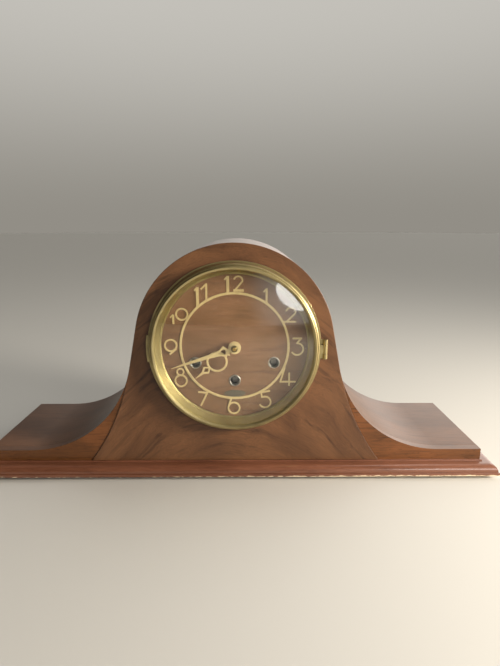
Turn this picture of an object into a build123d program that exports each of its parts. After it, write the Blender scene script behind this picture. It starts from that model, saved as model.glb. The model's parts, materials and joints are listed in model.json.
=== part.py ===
from build123d import *
import math
import os

# A tambour mantel clock: a low, hat-shaped wooden case on a moulded base, with a round wooden
# dial behind a hinged brass bezel with domed glass, and a three-train chiming movement inside.
#
# Lengths are in millimetres and angles in degrees. +X is to the clock's left hand side as it faces
# the reader (the 3 o'clock side), +Z is up, and +Y runs from the dial to the back door.
# Depths below are counted from the front face of the case's wings, and every piece is moved by
# depth_shift when it is written, which puts the origin under the middle of the clock.

# ---------------------------------------------------------------- case
foot_height = 4.0
foot_radius = 9.0
foot_inset_x = 36.0
foot_inset_y = 22.0
base_overhang_end = 14.5
base_overhang_front = 14.5
base_overhang_back = 3.0
rim_height = 3.0
rim_step = 1.4
ovolo_height = 7.2
ovolo_radius = 6.4
ovolo_back_step = 0.6
fillet_strip_height = 1.3
fillet_strip_margin = 1.6

case_half_width = 247.5
case_depth = 130.0
hump_height = 215.5          # from the top of the base to the crown
hump_border = 13.8           # wood between the bezel and the edge of the hump
side_straight = 43.9         # straight stretch between the hump's arc and the wing's sweep
sweep_radius = 105.3
wing_height = 10.7           # from the top of the base to the wing's flat end
skin_thickness = 4.0
front_thickness = 10.0
panel_proud = 0.8
panel_line_top = 84.5        # where the panel's edge leaves the case's outline, above the base
panel_foot_spread = 39.5     # how much further out that edge is where it meets the base
panel_line_bend = 12.0
board_gap = 0.15
end_block_thickness = 8.0

back_inset = 2.0
back_thickness = 6.0
door_border = 20.0           # back panel between the door's arch and the edge of the hump
door_sill = 30.0             # above the base
door_spring_drop = 6.0       # the arch's centre below the hump's
door_gap = 0.8
slot_half_length = 36.0
slot_radius = 3.0
slot_pitch = 13.0
slot_count = 4
slot_bottom = 30.0           # above the door's sill
knob_inset = 14.0            # from the door's edge
knob_rise = 92.0             # above the base
knob_gap = 0.6               # the knob stays this far inside the base's back edge
door_leaf = 0.8
leaf_width = 11.0
door_knuckle = 1.6
door_pin_radius = 0.8
door_hinge_length = 22.0
door_hinge_rises = (46.0, 98.0)

# ---------------------------------------------------------------- dial and bezel
dial_drop = 4.0              # dial centre below the hump's
dial_radius = 73.0
dial_thickness = 4.0
dial_recess = 4.0
dial_gap = 1.0
numeral_band = 17.0          # from the chapter ring out to the foot of the cone
chapter_width = 2.3
applied_thickness = 0.7
eyelet_bore = 4.3
eyelet_wall = 0.5
eyelet_flange = 1.2
eyelet_fit = 0.05
eyelet_gap = 0.3             # round a flange, where the chapter ring would reach it
plaque_half_width = 10.5
plaque_half_height = 3.6
plaque_drop = 47.0
plaque_thickness = 0.4

seat_ring_thickness = 1.0
seat_ring_margin = 1.6
bezel_gap = 0.3
bezel_wall = 4.1             # from the glass's edge to the outside of the roll
glass_seat = 3.1             # from the hole in the panel to the glass's edge
glass_thickness = 2.0
glass_rise = 12.0
glass_gap = 0.15
lip_width = 1.7
cone_margin = 3.0            # from the dial's edge to the foot of the cone
cone_lift = 0.4              # from the cone's foot to the numerals
sheet = 0.6
bezel_height = 9.4           # from the seat ring to the top of the roll
lip_thickness = 1.2
hinge_offset = 5.4           # from the bezel's edge to the hinge pin
hinge_drop = 1.0
hinge_length = 18.8
knuckle_radius = 2.2
bezel_pin_radius = 1.0
running_gap = 0.05

# ---------------------------------------------------------------- hands
centre_arbor_radius = 1.5
cannon_radius = 2.4
hour_pipe_radius = 4.0
hour_hand_y = -1.0           # depth of the hour hand's front
minute_hand_y = -4.0
hand_thickness = 0.8

# ---------------------------------------------------------------- movement
plate_half_width = 62.0
plate_drop = 58.0            # from the hands' arbor down to the plates' lower edge
plate_rise = 56.0
plate_thickness = 1.6
front_plate_y = 22.0
plate_spacing = 36.0         # between the two plates' front faces
pivot_radius = 0.8
end_shake = 0.4
winding_x = 38.0
winding_drop = 16.0          # side winding arbors below the hands' arbor
time_drop = 34.0
winding_square = 4.2
barrel_radius = 19.0
barrel_wall = 1.0
barrel_arbor_radius = 3.6
ratchet_teeth = 24
ratchet_radius = 9.5
ratchet_stand = 2.8          # from the ratchet's front to the front plate
click_distance = 14.0        # between a click's stud and its ratchet's arbor
click_reach = 35.0           # degrees round the ratchet from the stud to the nose
click_stud_radius = 1.2
click_angles = {"time": -50.0, "strike": -130.0, "chime": -50.0}
pillar_x = 57.0
pillar_rise = 16.0           # above the plates' lower edge
pillar_fall = 6.0            # below their upper edge
dial_post_x = 46.0
dial_post_z = 50.0           # above and below the hands' arbor
bracket_rises = (-48.0, 30.0)
great_module, great_teeth, great_pinion = 0.6, 72, 12
middle_module, middle_teeth, middle_pinion = 0.55, 45, 10
centre_module, centre_teeth = 0.42, 60
third_module, third_teeth = 0.38, 60
fourth_module, fourth_teeth = 0.36, 50
train_pinion = 10
escape_teeth = 30
escape_radius = 9.0
motion_module, cannon_teeth, minute_teeth = 0.7, 12, 36
minute_pinion_teeth, hour_teeth = 10, 40
wheel_thickness = 1.2
great_thickness = 2.4
fly_half_span = 9.0
drum_gear_module, drum_driver_teeth, drum_gear_teeth = 0.8, 48, 52
drum_radius = 7.0
drum_pin_reach = 2.5
hammer_count = 4
first_hammer = 10.4          # behind the back plate
hammer_pitch = 8.0
frame_margin = 9.0           # from the last hammer to the rear cheek
head_reach = 32.0            # from the hammers' shaft across to a head, and down to it
head_fall = 12.0
block_x = 62.0               # where the rods leave their block
hammer_shaft_x = 66.0
hammer_shaft_drop = 70.0     # below the hands' arbor
hammer_head_radius = 3.5
rod_radius = 1.75
rod_gap = 9.0                # from the middle of a resting hammer's head down to its rod
rod_end_gap = 9.2            # from the longest rod's end to the inside of the skin
rod_step = 14.0
cock_reach = 6.4             # from the back plate to the cock's bridge
pendulum_reach = 11.4        # from the back plate to the middle of the pendulum
pendulum_length = 110.0
bob_radius = 13.0
bob_thickness = 10.0

# The time that the hands show at rest.
hands_hour, hands_minute = 7, 42

# ---------------------------------------------------------------- places worked out from the sizes
base_bottom = foot_height
base_top = base_bottom + rim_height + ovolo_height + fillet_strip_height
overall_height = base_top + hump_height
panel_hole_radius = dial_radius + dial_gap
cone_foot_radius = dial_radius - cone_margin
chapter_radius = cone_foot_radius - numeral_band
glass_radius = panel_hole_radius + glass_seat
lip_radius = glass_radius - lip_width
bezel_radius = glass_radius + bezel_wall
seat_ring_radius = bezel_radius + seat_ring_margin
hump_radius = bezel_radius + hump_border
hump_centre = overall_height - hump_radius
base_half_width = case_half_width + base_overhang_end
wing_top = base_top + wing_height
sweep_centre = wing_top + sweep_radius
centre_distance = math.hypot(hump_radius + sweep_radius, side_straight)
sweep_centre_x = math.sqrt(centre_distance**2 - (sweep_centre - hump_centre) ** 2)
dial_z = hump_centre - dial_drop
door_half_width = hump_radius - door_border
door_spring = hump_centre - door_spring_drop
dial_face_y = dial_recess
dial_back_y = dial_face_y + dial_thickness
panel_face_y = -panel_proud
seat_front_y = panel_face_y - seat_ring_thickness
bezel_back_y = seat_front_y - bezel_gap
bezel_front_y = bezel_back_y - bezel_height
glass_ball = (glass_radius**2 + glass_rise**2) / (2 * glass_rise)
glass_rim_drop = math.sqrt(glass_ball**2 - lip_radius**2) - math.sqrt(glass_ball**2 - glass_radius**2)
glass_edge_y = bezel_front_y + lip_thickness + glass_gap + glass_rim_drop
glass_front_y = glass_edge_y - glass_rise
back_plate_y = front_plate_y + plate_spacing
back_end = back_plate_y + plate_thickness
plate_gap_front = front_plate_y + plate_thickness
base_back_y = case_depth + base_overhang_back
depth_shift = -(glass_front_y + base_back_y) / 2
back_face_y = case_depth - back_inset
back_inner_y = back_face_y - back_thickness
minute_angle = hands_minute * 6.0
hour_angle = (hands_hour + hands_minute / 60) * 30.0
bezel_hinge_x = bezel_radius + hinge_offset
bezel_hinge_y = seat_front_y - knuckle_radius + 1.0
bezel_hinge_z = dial_z - hinge_drop
knob_x = -door_half_width + knob_inset
knob_z = base_top + knob_rise
door_hinge_x = door_half_width - door_gap / 2
door_hinge_y = back_face_y + door_knuckle + 0.15
door_hinge_levels = [base_top + rise for rise in door_hinge_rises]
cone_back_y = dial_face_y - applied_thickness - cone_lift
cock_y = back_end + cock_reach
pendulum_y = back_end + pendulum_reach
inner_front = plate_gap_front + end_shake
inner_back = back_plate_y - end_shake
ratchet_y = front_plate_y - ratchet_stand
plate_bottom = dial_z - plate_drop
plate_top = dial_z + plate_rise


# ---------------------------------------------------------------- helpers
def slab(face, near, far):
    """A flat shape drawn as (x, z), made solid from depth near to depth far."""
    return extrude(Plane.XZ.offset(-far) * face, amount=far - near)


def disc(x, z, radius):
    return Pos(x, z) * Circle(radius)


def post(x, z, radius, near, far):
    return slab(disc(x, z, radius), near, far)


def bar(x0, x1, near, far, z0, z1):
    centre = ((x0 + x1) / 2, (near + far) / 2, (z0 + z1) / 2)
    return Pos(*centre) * Box(x1 - x0, far - near, z1 - z0)


def turned(points, x, z):
    """A profile of (radius, depth) points turned about the line along Y through x, z."""
    return Pos(x, 0, z) * revolve(make_face(Polyline(*points, close=True)), axis=Axis.Y)


def stroke(start, end, width):
    """A flat strip with square ends from one point to another."""
    dx, dz = end[0] - start[0], end[1] - start[1]
    length = math.hypot(dx, dz)
    middle = ((start[0] + end[0]) / 2, (start[1] + end[1]) / 2)
    return Pos(*middle) * Rot(0, 0, math.degrees(math.atan2(dz, dx))) * Rectangle(length, width)


def hoop(x, z, radius, width):
    return disc(x, z, radius) - disc(x, z, radius - width)


def bow(x, z, radius, width, start, end):
    """Part of a hoop, from angle start anticlockwise to angle end."""
    outer = [polar(x, z, radius, a) for a in (start, (start + end) / 2, end)]
    inner = [polar(x, z, radius - width, a) for a in (end, (start + end) / 2, start)]
    edges = [
        ThreePointArc(*outer),
        Line(outer[2], inner[0]),
        ThreePointArc(*inner),
        Line(inner[2], outer[0]),
    ]
    return make_face(edges)


def polar(x, z, radius, angle):
    turn = math.radians(angle)
    return (x + radius * math.cos(turn), z + radius * math.sin(turn))


def one(shape):
    """The single solid of a fused shape."""
    solids = shape.solids()
    assert len(solids) == 1, f"{len(solids)} solids where one was meant"
    return solids[0]


def write(name, *shapes):
    """Writes a node from its solids, moved to the clock's own origin."""
    solids = [s for shape in shapes for s in shape.solids()]
    moved = [Pos(0, depth_shift, 0) * s for s in solids]
    export_step(moved[0] if len(moved) == 1 else Compound(children=moved), f"parts/{name}.step")


# ---------------------------------------------------------------- case outline
def tangent_points(inset):
    """Where the straight side leaves the hump's arc and meets the wing's sweep, on the right."""
    dx, dz = sweep_centre_x, sweep_centre - hump_centre
    distance = math.hypot(dx, dz)
    lean = math.degrees(math.atan2(dz, dx) + math.acos((hump_radius + sweep_radius) / distance))
    high = polar(0, hump_centre, hump_radius - inset, lean)
    low = polar(sweep_centre_x, sweep_centre, sweep_radius + inset, lean + 180)
    return high, low


def mirrored(point):
    return (-point[0], point[1])


def sweep_middle(low, radius):
    """A point on the sweep's arc between the side and the flat of the wing."""
    angle = math.degrees(math.atan2(low[1] - sweep_centre, low[0] - sweep_centre_x)) % 360
    return polar(sweep_centre_x, sweep_centre, radius, (angle + 270) / 2)


def case_outline(inset=0.0, end_inset=None):
    """The hat shape that the front, skin and back share, drawn inset from the outside."""
    end = case_half_width - (inset if end_inset is None else end_inset)
    high, low = tangent_points(inset)
    foot = (sweep_centre_x, sweep_centre - sweep_radius - inset)
    middle = sweep_middle(low, sweep_radius + inset)
    corner, ground = (end, foot[1]), (end, base_top)
    crown = (0, hump_centre + hump_radius - inset)
    edges = [
        ThreePointArc(mirrored(high), crown, high),
        Line(high, low),
        ThreePointArc(low, middle, foot),
        Line(foot, corner),
        Line(corner, ground),
        Line(ground, mirrored(ground)),
        Line(mirrored(ground), mirrored(corner)),
        Line(mirrored(corner), mirrored(foot)),
        ThreePointArc(mirrored(foot), mirrored(middle), mirrored(low)),
        Line(mirrored(low), mirrored(high)),
    ]
    return make_face(edges)


def panel_edge(gap=0.0):
    """The curved line between the front panel and a wing: start on the outline, middle, end."""
    start_z = base_top + panel_line_top
    start = (sweep_centre_x - math.sqrt(sweep_radius**2 - (start_z - sweep_centre) ** 2), start_z)
    end = (start[0] + panel_foot_spread, base_top)
    chord = math.dist(start, end)
    sag = chord / 2 * math.tan(math.radians(panel_line_bend / 2))
    along = ((end[0] - start[0]) / chord, (end[1] - start[1]) / chord)
    across = (along[1], -along[0])
    middle = (
        (start[0] + end[0]) / 2 + across[0] * sag,
        (start[1] + end[1]) / 2 + across[1] * sag,
    )
    return [(p[0] + gap, p[1]) for p in (start, middle, end)]


def wing_face():
    """The right wing's front: what the outline holds outside the panel's edge."""
    start, middle, end = panel_edge(board_gap)
    far = case_half_width * 1.2
    top = start[1]
    outside = make_face(
        [
            ThreePointArc(start, middle, end),
            Line(end, (far, base_top)),
            Line((far, base_top), (far, top)),
            Line((far, top), start),
        ]
    )
    return case_outline() & outside


def panel_face():
    """The hump's front: the outline between the two curved edges."""
    start, middle, end = panel_edge()
    top = overall_height * 1.1
    wide = case_half_width
    inside = make_face(
        [
            ThreePointArc(start, middle, end),
            Line(end, mirrored(end)),
            ThreePointArc(mirrored(end), mirrored(middle), mirrored(start)),
            Line(mirrored(start), (-wide, start[1])),
            Line((-wide, start[1]), (-wide, top)),
            Line((-wide, top), (wide, top)),
            Line((wide, top), (wide, start[1])),
            Line((wide, start[1]), start),
        ]
    )
    return case_outline() & inside


# ---------------------------------------------------------------- case pieces
def base_board():
    back = base_back_y
    rim = bar(-base_half_width, base_half_width, -base_overhang_front, back,
              base_bottom, base_bottom + rim_height)
    ovolo_half = base_half_width - rim_step
    ovolo_top = base_bottom + rim_height + ovolo_height
    ovolo = bar(-ovolo_half, ovolo_half, -base_overhang_front + rim_step, back - ovolo_back_step,
                base_bottom + rim_height, ovolo_top)
    upper = ovolo.edges().filter_by_position(Axis.Z, ovolo_top - 0.01, ovolo_top + 0.01)
    shown = upper.sort_by(Axis.Y)[:-1]
    ovolo = fillet(shown, ovolo_radius)
    strip_half = case_half_width + fillet_strip_margin
    strip = bar(-strip_half, strip_half, -fillet_strip_margin, case_depth, ovolo_top, base_top)
    return one(rim + ovolo + strip)


def feet():
    span_x = base_half_width - foot_inset_x
    near = -base_overhang_front + foot_inset_y
    far = base_back_y - foot_inset_y
    return [
        Pos(x, y, foot_height / 2) * Cylinder(foot_radius, foot_height)
        for x in (-span_x, span_x)
        for y in (near, far)
    ]


def case_skin():
    ring = case_outline() - case_outline(skin_thickness, end_inset=-1.0)
    return one(slab(ring, front_thickness, case_depth))


def end_blocks():
    top = wing_top - skin_thickness
    outer = case_half_width
    inner = outer - end_block_thickness
    return [
        bar(inner, outer, front_thickness, case_depth, base_top, top),
        bar(-outer, -inner, front_thickness, case_depth, base_top, top),
    ]


def front_panel():
    face = panel_face() - disc(0, dial_z, panel_hole_radius)
    return one(slab(face, panel_face_y, front_thickness))


def door_face(inset):
    """The back door's arch, drawn inset from its opening."""
    half = door_half_width - inset
    sill, spring = base_top + door_sill + inset, door_spring
    edges = [
        Line((-half, sill), (half, sill)),
        Line((half, sill), (half, spring)),
        ThreePointArc((half, spring), (0, spring + half), (-half, spring)),
        Line((-half, spring), (-half, sill)),
    ]
    return make_face(edges)


def back_panel():
    clear = skin_thickness + board_gap
    inside = case_half_width - end_block_thickness - board_gap
    face = case_outline(clear, end_inset=case_half_width - inside) - door_face(0)
    return one(slab(face, back_inner_y, back_face_y))


def back_door():
    face = door_face(door_gap)
    for i in range(slot_count):
        z = base_top + door_sill + slot_bottom + i * slot_pitch
        ends = [disc(s * slot_half_length, z, slot_radius) for s in (-1, 1)]
        face -= ends[0] + ends[1] + Pos(0, z) * Rectangle(2 * slot_half_length, 2 * slot_radius)
    return one(slab(face, back_inner_y, back_face_y))


def door_knob():
    tip = base_back_y - back_face_y - knob_gap
    profile = [(0, 0), (4.2, 0), (4.2, 0.8), (2.0, 1.4), (2.2, 2.4), (3.6, tip - 1.0), (2.6, tip), (0, tip)]
    return turned([(r, back_face_y + y) for r, y in profile], knob_x, knob_z)


def door_hinge(side):
    """One leaf of both door hinges: side 1 is fixed to the back, side -1 is on the door."""
    pieces = []
    for level in door_hinge_levels:
        low, high = level - door_hinge_length / 2, level + door_hinge_length / 2
        third = door_hinge_length / 3
        near_edge = door_hinge_x + side * (door_knuckle + 0.3)
        far_edge = door_hinge_x + side * leaf_width
        leaf = bar(min(near_edge, far_edge), max(near_edge, far_edge), back_face_y,
                   back_face_y + door_leaf, low, high)
        spans = [(low, low + third), (high - third, high)] if side == 1 else [
            (low + third + 0.2, high - third - 0.2)]
        for z0, z1 in spans:
            barrel = Pos(door_hinge_x, door_hinge_y, (z0 + z1) / 2) * Cylinder(door_knuckle, z1 - z0)
            neck = bar(min(door_hinge_x, near_edge), max(door_hinge_x, near_edge),
                       back_face_y + 0.2, back_face_y + door_leaf, z0, z1)
            leaf = leaf + barrel + neck
        at = Pos(door_hinge_x, door_hinge_y, level)
        pieces.append(one(leaf - at * Cylinder(door_pin_radius + running_gap, door_hinge_length)))
        if side == 1:
            pieces.append(at * Cylinder(door_pin_radius, door_hinge_length))
    return pieces


# ---------------------------------------------------------------- dial pieces
winding_points = [
    (0, dial_z - time_drop),
    (-winding_x, dial_z - winding_drop),
    (winding_x, dial_z - winding_drop),
]


def dial():
    face = disc(0, dial_z, dial_radius) - disc(0, dial_z, 5.0)
    for x, z in winding_points:
        face -= disc(x, z, eyelet_bore + eyelet_wall)
    return one(slab(face, dial_face_y, dial_back_y))


def chapter_ring():
    """The ring inside the numerals, cut away where a winding hole's flange reaches it."""
    face = hoop(0, dial_z, chapter_radius, chapter_width)
    clear = eyelet_bore + eyelet_wall - eyelet_fit + eyelet_flange + eyelet_gap
    for x, z in winding_points:
        face -= disc(x, z, clear)
    return slab(face, dial_face_y - applied_thickness, dial_face_y)


def numeral_strokes():
    """Each numeral's flat strokes, about the middle of its place in the band. All stand upright."""
    thin, thick = 1.6, 2.6
    return {
        12: [stroke((-6, -9.5), (-6, 6.5), thick), stroke((-9.2, 2.9), (-6, 5.9), thin),
               bow(3.8, 2.1, 4.8, thin, -20, 165), stroke((7.4, 1.1), (0.6, -6.9), thin),
               stroke((-0.8, -7.1), (9, -7.1), 2.2)],
        1: [stroke((-0.4, -11.3), (-0.4, 3.1), 1.9), stroke((-3.2, -0.3), (-0.4, 2.5), 1.4)],
        2: [bow(0.1, 2.9, 5.2, thin, -25, 165), stroke((3.9, 1.3), (-3.1, -5.7), thin),
              stroke((-8.3, -6.3), (5.3, -6.3), thin)],
        3: [stroke((-5.9, 8.2), (3.1, 8.2), thin), stroke((2.4, 8.4), (-1.9, 3), thin),
              bow(-1.3, -2.4, 6.6, thin, -150, 97)],
        4: [stroke((-4.7, 10.1), (-8.7, -4.3), thin), stroke((-9.7, -4.5), (6.1, -4.5), thin),
              stroke((-0.3, 4.7), (-0.3, -8.7), thin)],
        5: [stroke((-5.8, 7.1), (3.8, 8.7), thin), stroke((-5, 7.5), (-4.2, 1.7), thin),
              bow(-1.2, -2.9, 6.4, thin, -155, 115)],
        6: [hoop(-1, -0.7, 6.4, thin), stroke((-6, 1.5), (-3.4, 9.5), thin)],
        7: [stroke((-5.3, 7.7), (4.3, 6.7), thin), stroke((3.9, 7.3), (-2.7, -6.5), 1.8)],
        8: [hoop(0.5, 5.7, 3.9, 1.4), hoop(0.9, -3.3, 6.4, thin)],
        9: [hoop(0.3, 1.4, 6.4, thin), stroke((5.6, -2.0), (-0.9, -7.4), thin)],
        10: [hoop(3.5, 1, 6.2, thin), stroke((-4.7, -8.4), (-4.7, 0.6), 1.8),
               stroke((-7.7, -2.2), (-4.7, 0.6), 1.4)],
        11: [stroke((-3.8, -15.3), (-3.8, 4.3), thick), stroke((-6.8, 0.9), (-3.8, 3.7), thin),
               stroke((4.6, -9.3), (4.6, 7.7), 1.8), stroke((-0.6, 2.1), (4.6, 7.1), thin)],
    }


def numerals():
    """Stamped numerals whose feet end on the chapter ring."""
    solids = []
    middle = (chapter_radius + cone_foot_radius) / 2
    for hour, strokes in numeral_strokes().items():
        face = strokes[0]
        for extra in strokes[1:]:
            face += extra
        place = polar(0, dial_z, middle, 90 - 30 * hour)
        face = Pos(*place) * face - disc(0, dial_z, chapter_radius + 0.02)
        solids += slab(face, dial_face_y - applied_thickness, dial_face_y).solids()
    return solids


def winding_eyelets():
    pieces = []
    for x, z in winding_points:
        outer = eyelet_bore + eyelet_wall - eyelet_fit
        tube = [(eyelet_bore, dial_face_y - 0.5), (outer + eyelet_flange, dial_face_y - 0.5),
                (outer + eyelet_flange, dial_face_y), (outer, dial_face_y),
                (outer, dial_back_y), (eyelet_bore, dial_back_y)]
        pieces.append(turned(tube, x, z))
    return pieces


def dial_plaque():
    oval = Pos(0, dial_z - plaque_drop) * Ellipse(plaque_half_width, plaque_half_height)
    return slab(oval, dial_face_y - plaque_thickness, dial_face_y)


def bezel_seat_ring():
    """The fixed brass ring round the dial hole, with its two hinge knuckles and their pin."""
    ring = turned([(panel_hole_radius, seat_front_y), (seat_ring_radius, seat_front_y),
                   (seat_ring_radius, panel_face_y), (panel_hole_radius, panel_face_y)], 0, dial_z)
    bore_radius = bezel_pin_radius + running_gap
    low = bezel_hinge_z - hinge_length / 2
    knuckle = hinge_length / 4
    for z0 in (low, low + hinge_length - knuckle):
        lug = bar(bezel_radius - 2.5, bezel_hinge_x, seat_front_y, panel_face_y, z0, z0 + knuckle)
        barrel = Pos(bezel_hinge_x, bezel_hinge_y, z0 + knuckle / 2) * Cylinder(knuckle_radius, knuckle)
        ring = ring + lug + barrel
    bore = Pos(bezel_hinge_x, bezel_hinge_y, bezel_hinge_z) * Cylinder(bore_radius, hinge_length)
    pin = Pos(bezel_hinge_x, bezel_hinge_y, bezel_hinge_z) * Cylinder(bezel_pin_radius, hinge_length)
    return [one(ring - bore), pin]


def bezel_ring():
    """The door's rolled brass rim with its glass lip, its hinge knuckle and its lifting tab."""
    front, back = bezel_front_y, bezel_back_y
    wall = glass_radius + 0.2
    edges = [
        Line((wall, back), (bezel_radius, back)),
        Line((bezel_radius, back), (bezel_radius, back - 2.0)),
        Line((bezel_radius, back - 2.0), (bezel_radius - 0.9, back - 2.7)),
        ThreePointArc((bezel_radius - 0.9, back - 2.7), (bezel_radius - 1.7, front + 1.1),
                      (lip_radius + 0.8, front)),
        Line((lip_radius + 0.8, front), (lip_radius, front + 0.4)),
        Line((lip_radius, front + 0.4), (lip_radius, front + lip_thickness)),
        Line((lip_radius, front + lip_thickness), (wall, front + lip_thickness)),
        Line((wall, front + lip_thickness), (wall, back)),
    ]
    ring = Pos(0, 0, dial_z) * revolve(make_face(edges), axis=Axis.Y)
    knuckle = hinge_length / 2 - 0.6
    low = bezel_hinge_z - knuckle / 2
    arm = bar(bezel_radius - 2.0, bezel_hinge_x, bezel_hinge_y - 1.0, bezel_hinge_y + 0.2, low, low + knuckle)
    barrel = Pos(bezel_hinge_x, bezel_hinge_y, bezel_hinge_z) * Cylinder(knuckle_radius, knuckle)
    hollow = post(0, dial_z, bezel_radius - 1.0, front, back)
    bore_radius = bezel_pin_radius + running_gap
    bore = Pos(bezel_hinge_x, bezel_hinge_y, bezel_hinge_z) * Cylinder(bore_radius, knuckle)
    tab_face = bow(0, dial_z, bezel_radius + 3.0, 4.0, 171, 189)
    tab = slab(tab_face, back - 1.3, back)
    return one(ring + (arm - hollow) + barrel + tab - bore)


def sight_ring():
    """The polished cone between the glass and the dial."""
    flange_y = glass_edge_y + glass_thickness + glass_gap
    rise = cone_back_y - flange_y
    slope = math.hypot(rise, lip_radius - cone_foot_radius) / rise
    wall = sheet * slope
    return turned([(glass_radius, flange_y), (lip_radius, flange_y), (cone_foot_radius, cone_back_y),
                   (cone_foot_radius + wall, cone_back_y), (lip_radius + wall, flange_y + sheet),
                   (glass_radius, flange_y + sheet)], 0, dial_z)


def bezel_glass():
    """A shallow domed glass, ground flat round its edge."""
    ball = glass_ball
    inner = ball - glass_thickness
    centre_y = glass_front_y + ball
    outer_angle = math.asin(glass_radius / ball)
    edge_y = centre_y - ball * math.cos(outer_angle)
    flat_y = edge_y + glass_thickness
    inner_edge = math.sqrt(inner**2 - (centre_y - flat_y) ** 2)
    half = outer_angle / 2
    inner_half = math.asin(inner_edge / inner) / 2
    edges = [
        ThreePointArc((0, glass_front_y), (ball * math.sin(half), centre_y - ball * math.cos(half)),
                      (glass_radius, edge_y)),
        Line((glass_radius, edge_y), (glass_radius, flat_y)),
        Line((glass_radius, flat_y), (inner_edge, flat_y)),
        ThreePointArc((inner_edge, flat_y),
                      (inner * math.sin(inner_half), centre_y - inner * math.cos(inner_half)),
                      (0, glass_front_y + glass_thickness)),
        Line((0, glass_front_y + glass_thickness), (0, glass_front_y)),
    ]
    return Pos(0, 0, dial_z) * revolve(make_face(edges), axis=Axis.Y)


# ---------------------------------------------------------------- hands
def hand(face, angle, near):
    """A hand drawn pointing at 12, turned clockwise to its angle."""
    return one(slab(Pos(0, dial_z) * Rot(0, 0, -angle) * face, near, near + hand_thickness))


def minute_hand():
    edge = [(0.8, 6), (5.8, 9.6), (2.9, 14), (1.9, 24), (1.4, 40), (0.3, 63.5)]
    blade = make_face(Polyline(*edge, *(mirrored(point) for point in edge[::-1]), close=True))
    window = make_face(Polyline((0, 7.6), (-2.8, 10), (0, 16.5), (2.8, 10), close=True))
    hub = disc(0, 0, 5.0)
    neck = stroke((0, 4), (0, 7.4), 3.0)
    face = (blade - window) + hub + neck - disc(0, 0, cannon_radius + running_gap)
    return hand(face, minute_angle, minute_hand_y)


def hour_hand():
    loop = hoop(0, 21.6, 10.2, 1.9)
    neck = stroke((0, 4.6), (0, 12.4), 2.2)
    cross = make_face(Polyline((-3.6, 8.4), (0, 10.8), (3.6, 8.4), (0, 6.6), close=True))
    kite = make_face(Polyline((0, 30.4), (-4.2, 35), (-1.3, 39.6), (-0.3, 48.5),
                              (0.3, 48.5), (1.3, 39.6), (4.2, 35), close=True))
    window = make_face(Polyline((0, 32.2), (-2.2, 34.9), (0, 38.2), (2.2, 34.9), close=True))
    hub = disc(0, 0, 6.2)
    face = loop + neck + cross + (kite - window) + hub - disc(0, 0, hour_pipe_radius + running_gap)
    return hand(face, hour_angle, hour_hand_y)


def hand_nut():
    nut = turned([(centre_arbor_radius + running_gap, -4.5), (3.3, -4.5), (3.3, -5.8),
                  (2.5, -6.6), (centre_arbor_radius + running_gap, -6.6)], 0, dial_z)
    return one(nut)


# ---------------------------------------------------------------- wheels
def toothed(teeth, module, phase):
    """A toothed disc about the origin with one tooth at the given angle. Few teeth make slim leaves."""
    leaf = teeth < 20
    pitch = module * teeth / 2
    reach, depth = (0.8, 1.25) if leaf else (0.9, 1.2)
    tip, flank, root = (0.45, 1.0, 0.95) if leaf else (0.5, 1.25, 1.5)
    rows = [(pitch - depth * module, root), (pitch, flank), (pitch + reach * module, tip)]
    points = []
    for i in range(teeth):
        middle = phase + 360 * i / teeth
        for side, order in ((-1, rows), (1, rows[::-1])):
            for radius, width in order:
                points.append(polar(0, 0, radius, middle + side * math.degrees(width * module / 2 / radius)))
    return make_face(Polyline(*points, close=True))


def wheel_face(teeth, module, phase, hub_radius, spokes=4):
    """A toothed wheel with its crossings cut out."""
    face = toothed(teeth, module, phase)
    rim = module * teeth / 2 - 3.2 * module - 0.6
    if rim - hub_radius < 3:
        return face
    for i in range(spokes):
        start = 360 / spokes * i + 14
        end = start + 360 / spokes - 28
        face -= bow(0, 0, rim, rim - hub_radius, start, end)
    return face


def meshed_phase(place, teeth, phase, other, other_teeth):
    """The tooth angle of a wheel that meshes with one already placed."""
    line = math.degrees(math.atan2(other[1] - place[1], other[0] - place[0]))
    ahead = phase - line
    return line + 180 - ahead * teeth / other_teeth + 180 / other_teeth


def beside(place, distance, angle):
    return polar(place[0], place[1], distance, angle)


def mesh_distance(module, teeth, other_teeth):
    return module * (teeth + other_teeth) / 2


def arbor(place, radius):
    """A plain arbor with a pivot in each plate."""
    x, z = place
    return (post(x, z, radius, inner_front, inner_back)
            + post(x, z, pivot_radius, front_plate_y - 0.2, inner_front)
            + post(x, z, pivot_radius, inner_back, back_end + 0.2))


def fitted(place, face, near, far):
    return slab(Pos(*place) * face, near, far)


# Where each arbor stands, as (x, z).
hands_at = (0, dial_z)
time_at = winding_points[0]
strike_at = winding_points[1]
chime_at = winding_points[2]
great_distance = mesh_distance(great_module, great_teeth, great_pinion)
middle_distance = mesh_distance(middle_module, middle_teeth, middle_pinion)
middle_rise = (great_distance**2 - middle_distance**2 + time_drop**2) / (2 * time_drop)
middle_at = (math.sqrt(great_distance**2 - middle_rise**2), time_at[1] + middle_rise)
third_at = beside(hands_at, mesh_distance(centre_module, centre_teeth, train_pinion), 120)
fourth_at = beside(third_at, mesh_distance(third_module, third_teeth, train_pinion), 60)
escape_distance = mesh_distance(fourth_module, fourth_teeth, train_pinion)
escape_at = (0, fourth_at[1] + math.sqrt(escape_distance**2 - fourth_at[0] ** 2))
anchor_at = (0, escape_at[1] + escape_radius + 4.2)
minute_wheel_at = beside(hands_at, mesh_distance(motion_module, cannon_teeth, minute_teeth), 60)
hour_module = motion_module * (cannon_teeth + minute_teeth) / (minute_pinion_teeth + hour_teeth)
strike_second_at = beside(strike_at, great_distance, 110)
strike_fly_at = beside(strike_second_at, mesh_distance(centre_module, centre_teeth, train_pinion), 70)
chime_second_at = mirrored(strike_second_at)
chime_fly_at = mirrored(strike_fly_at)
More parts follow.
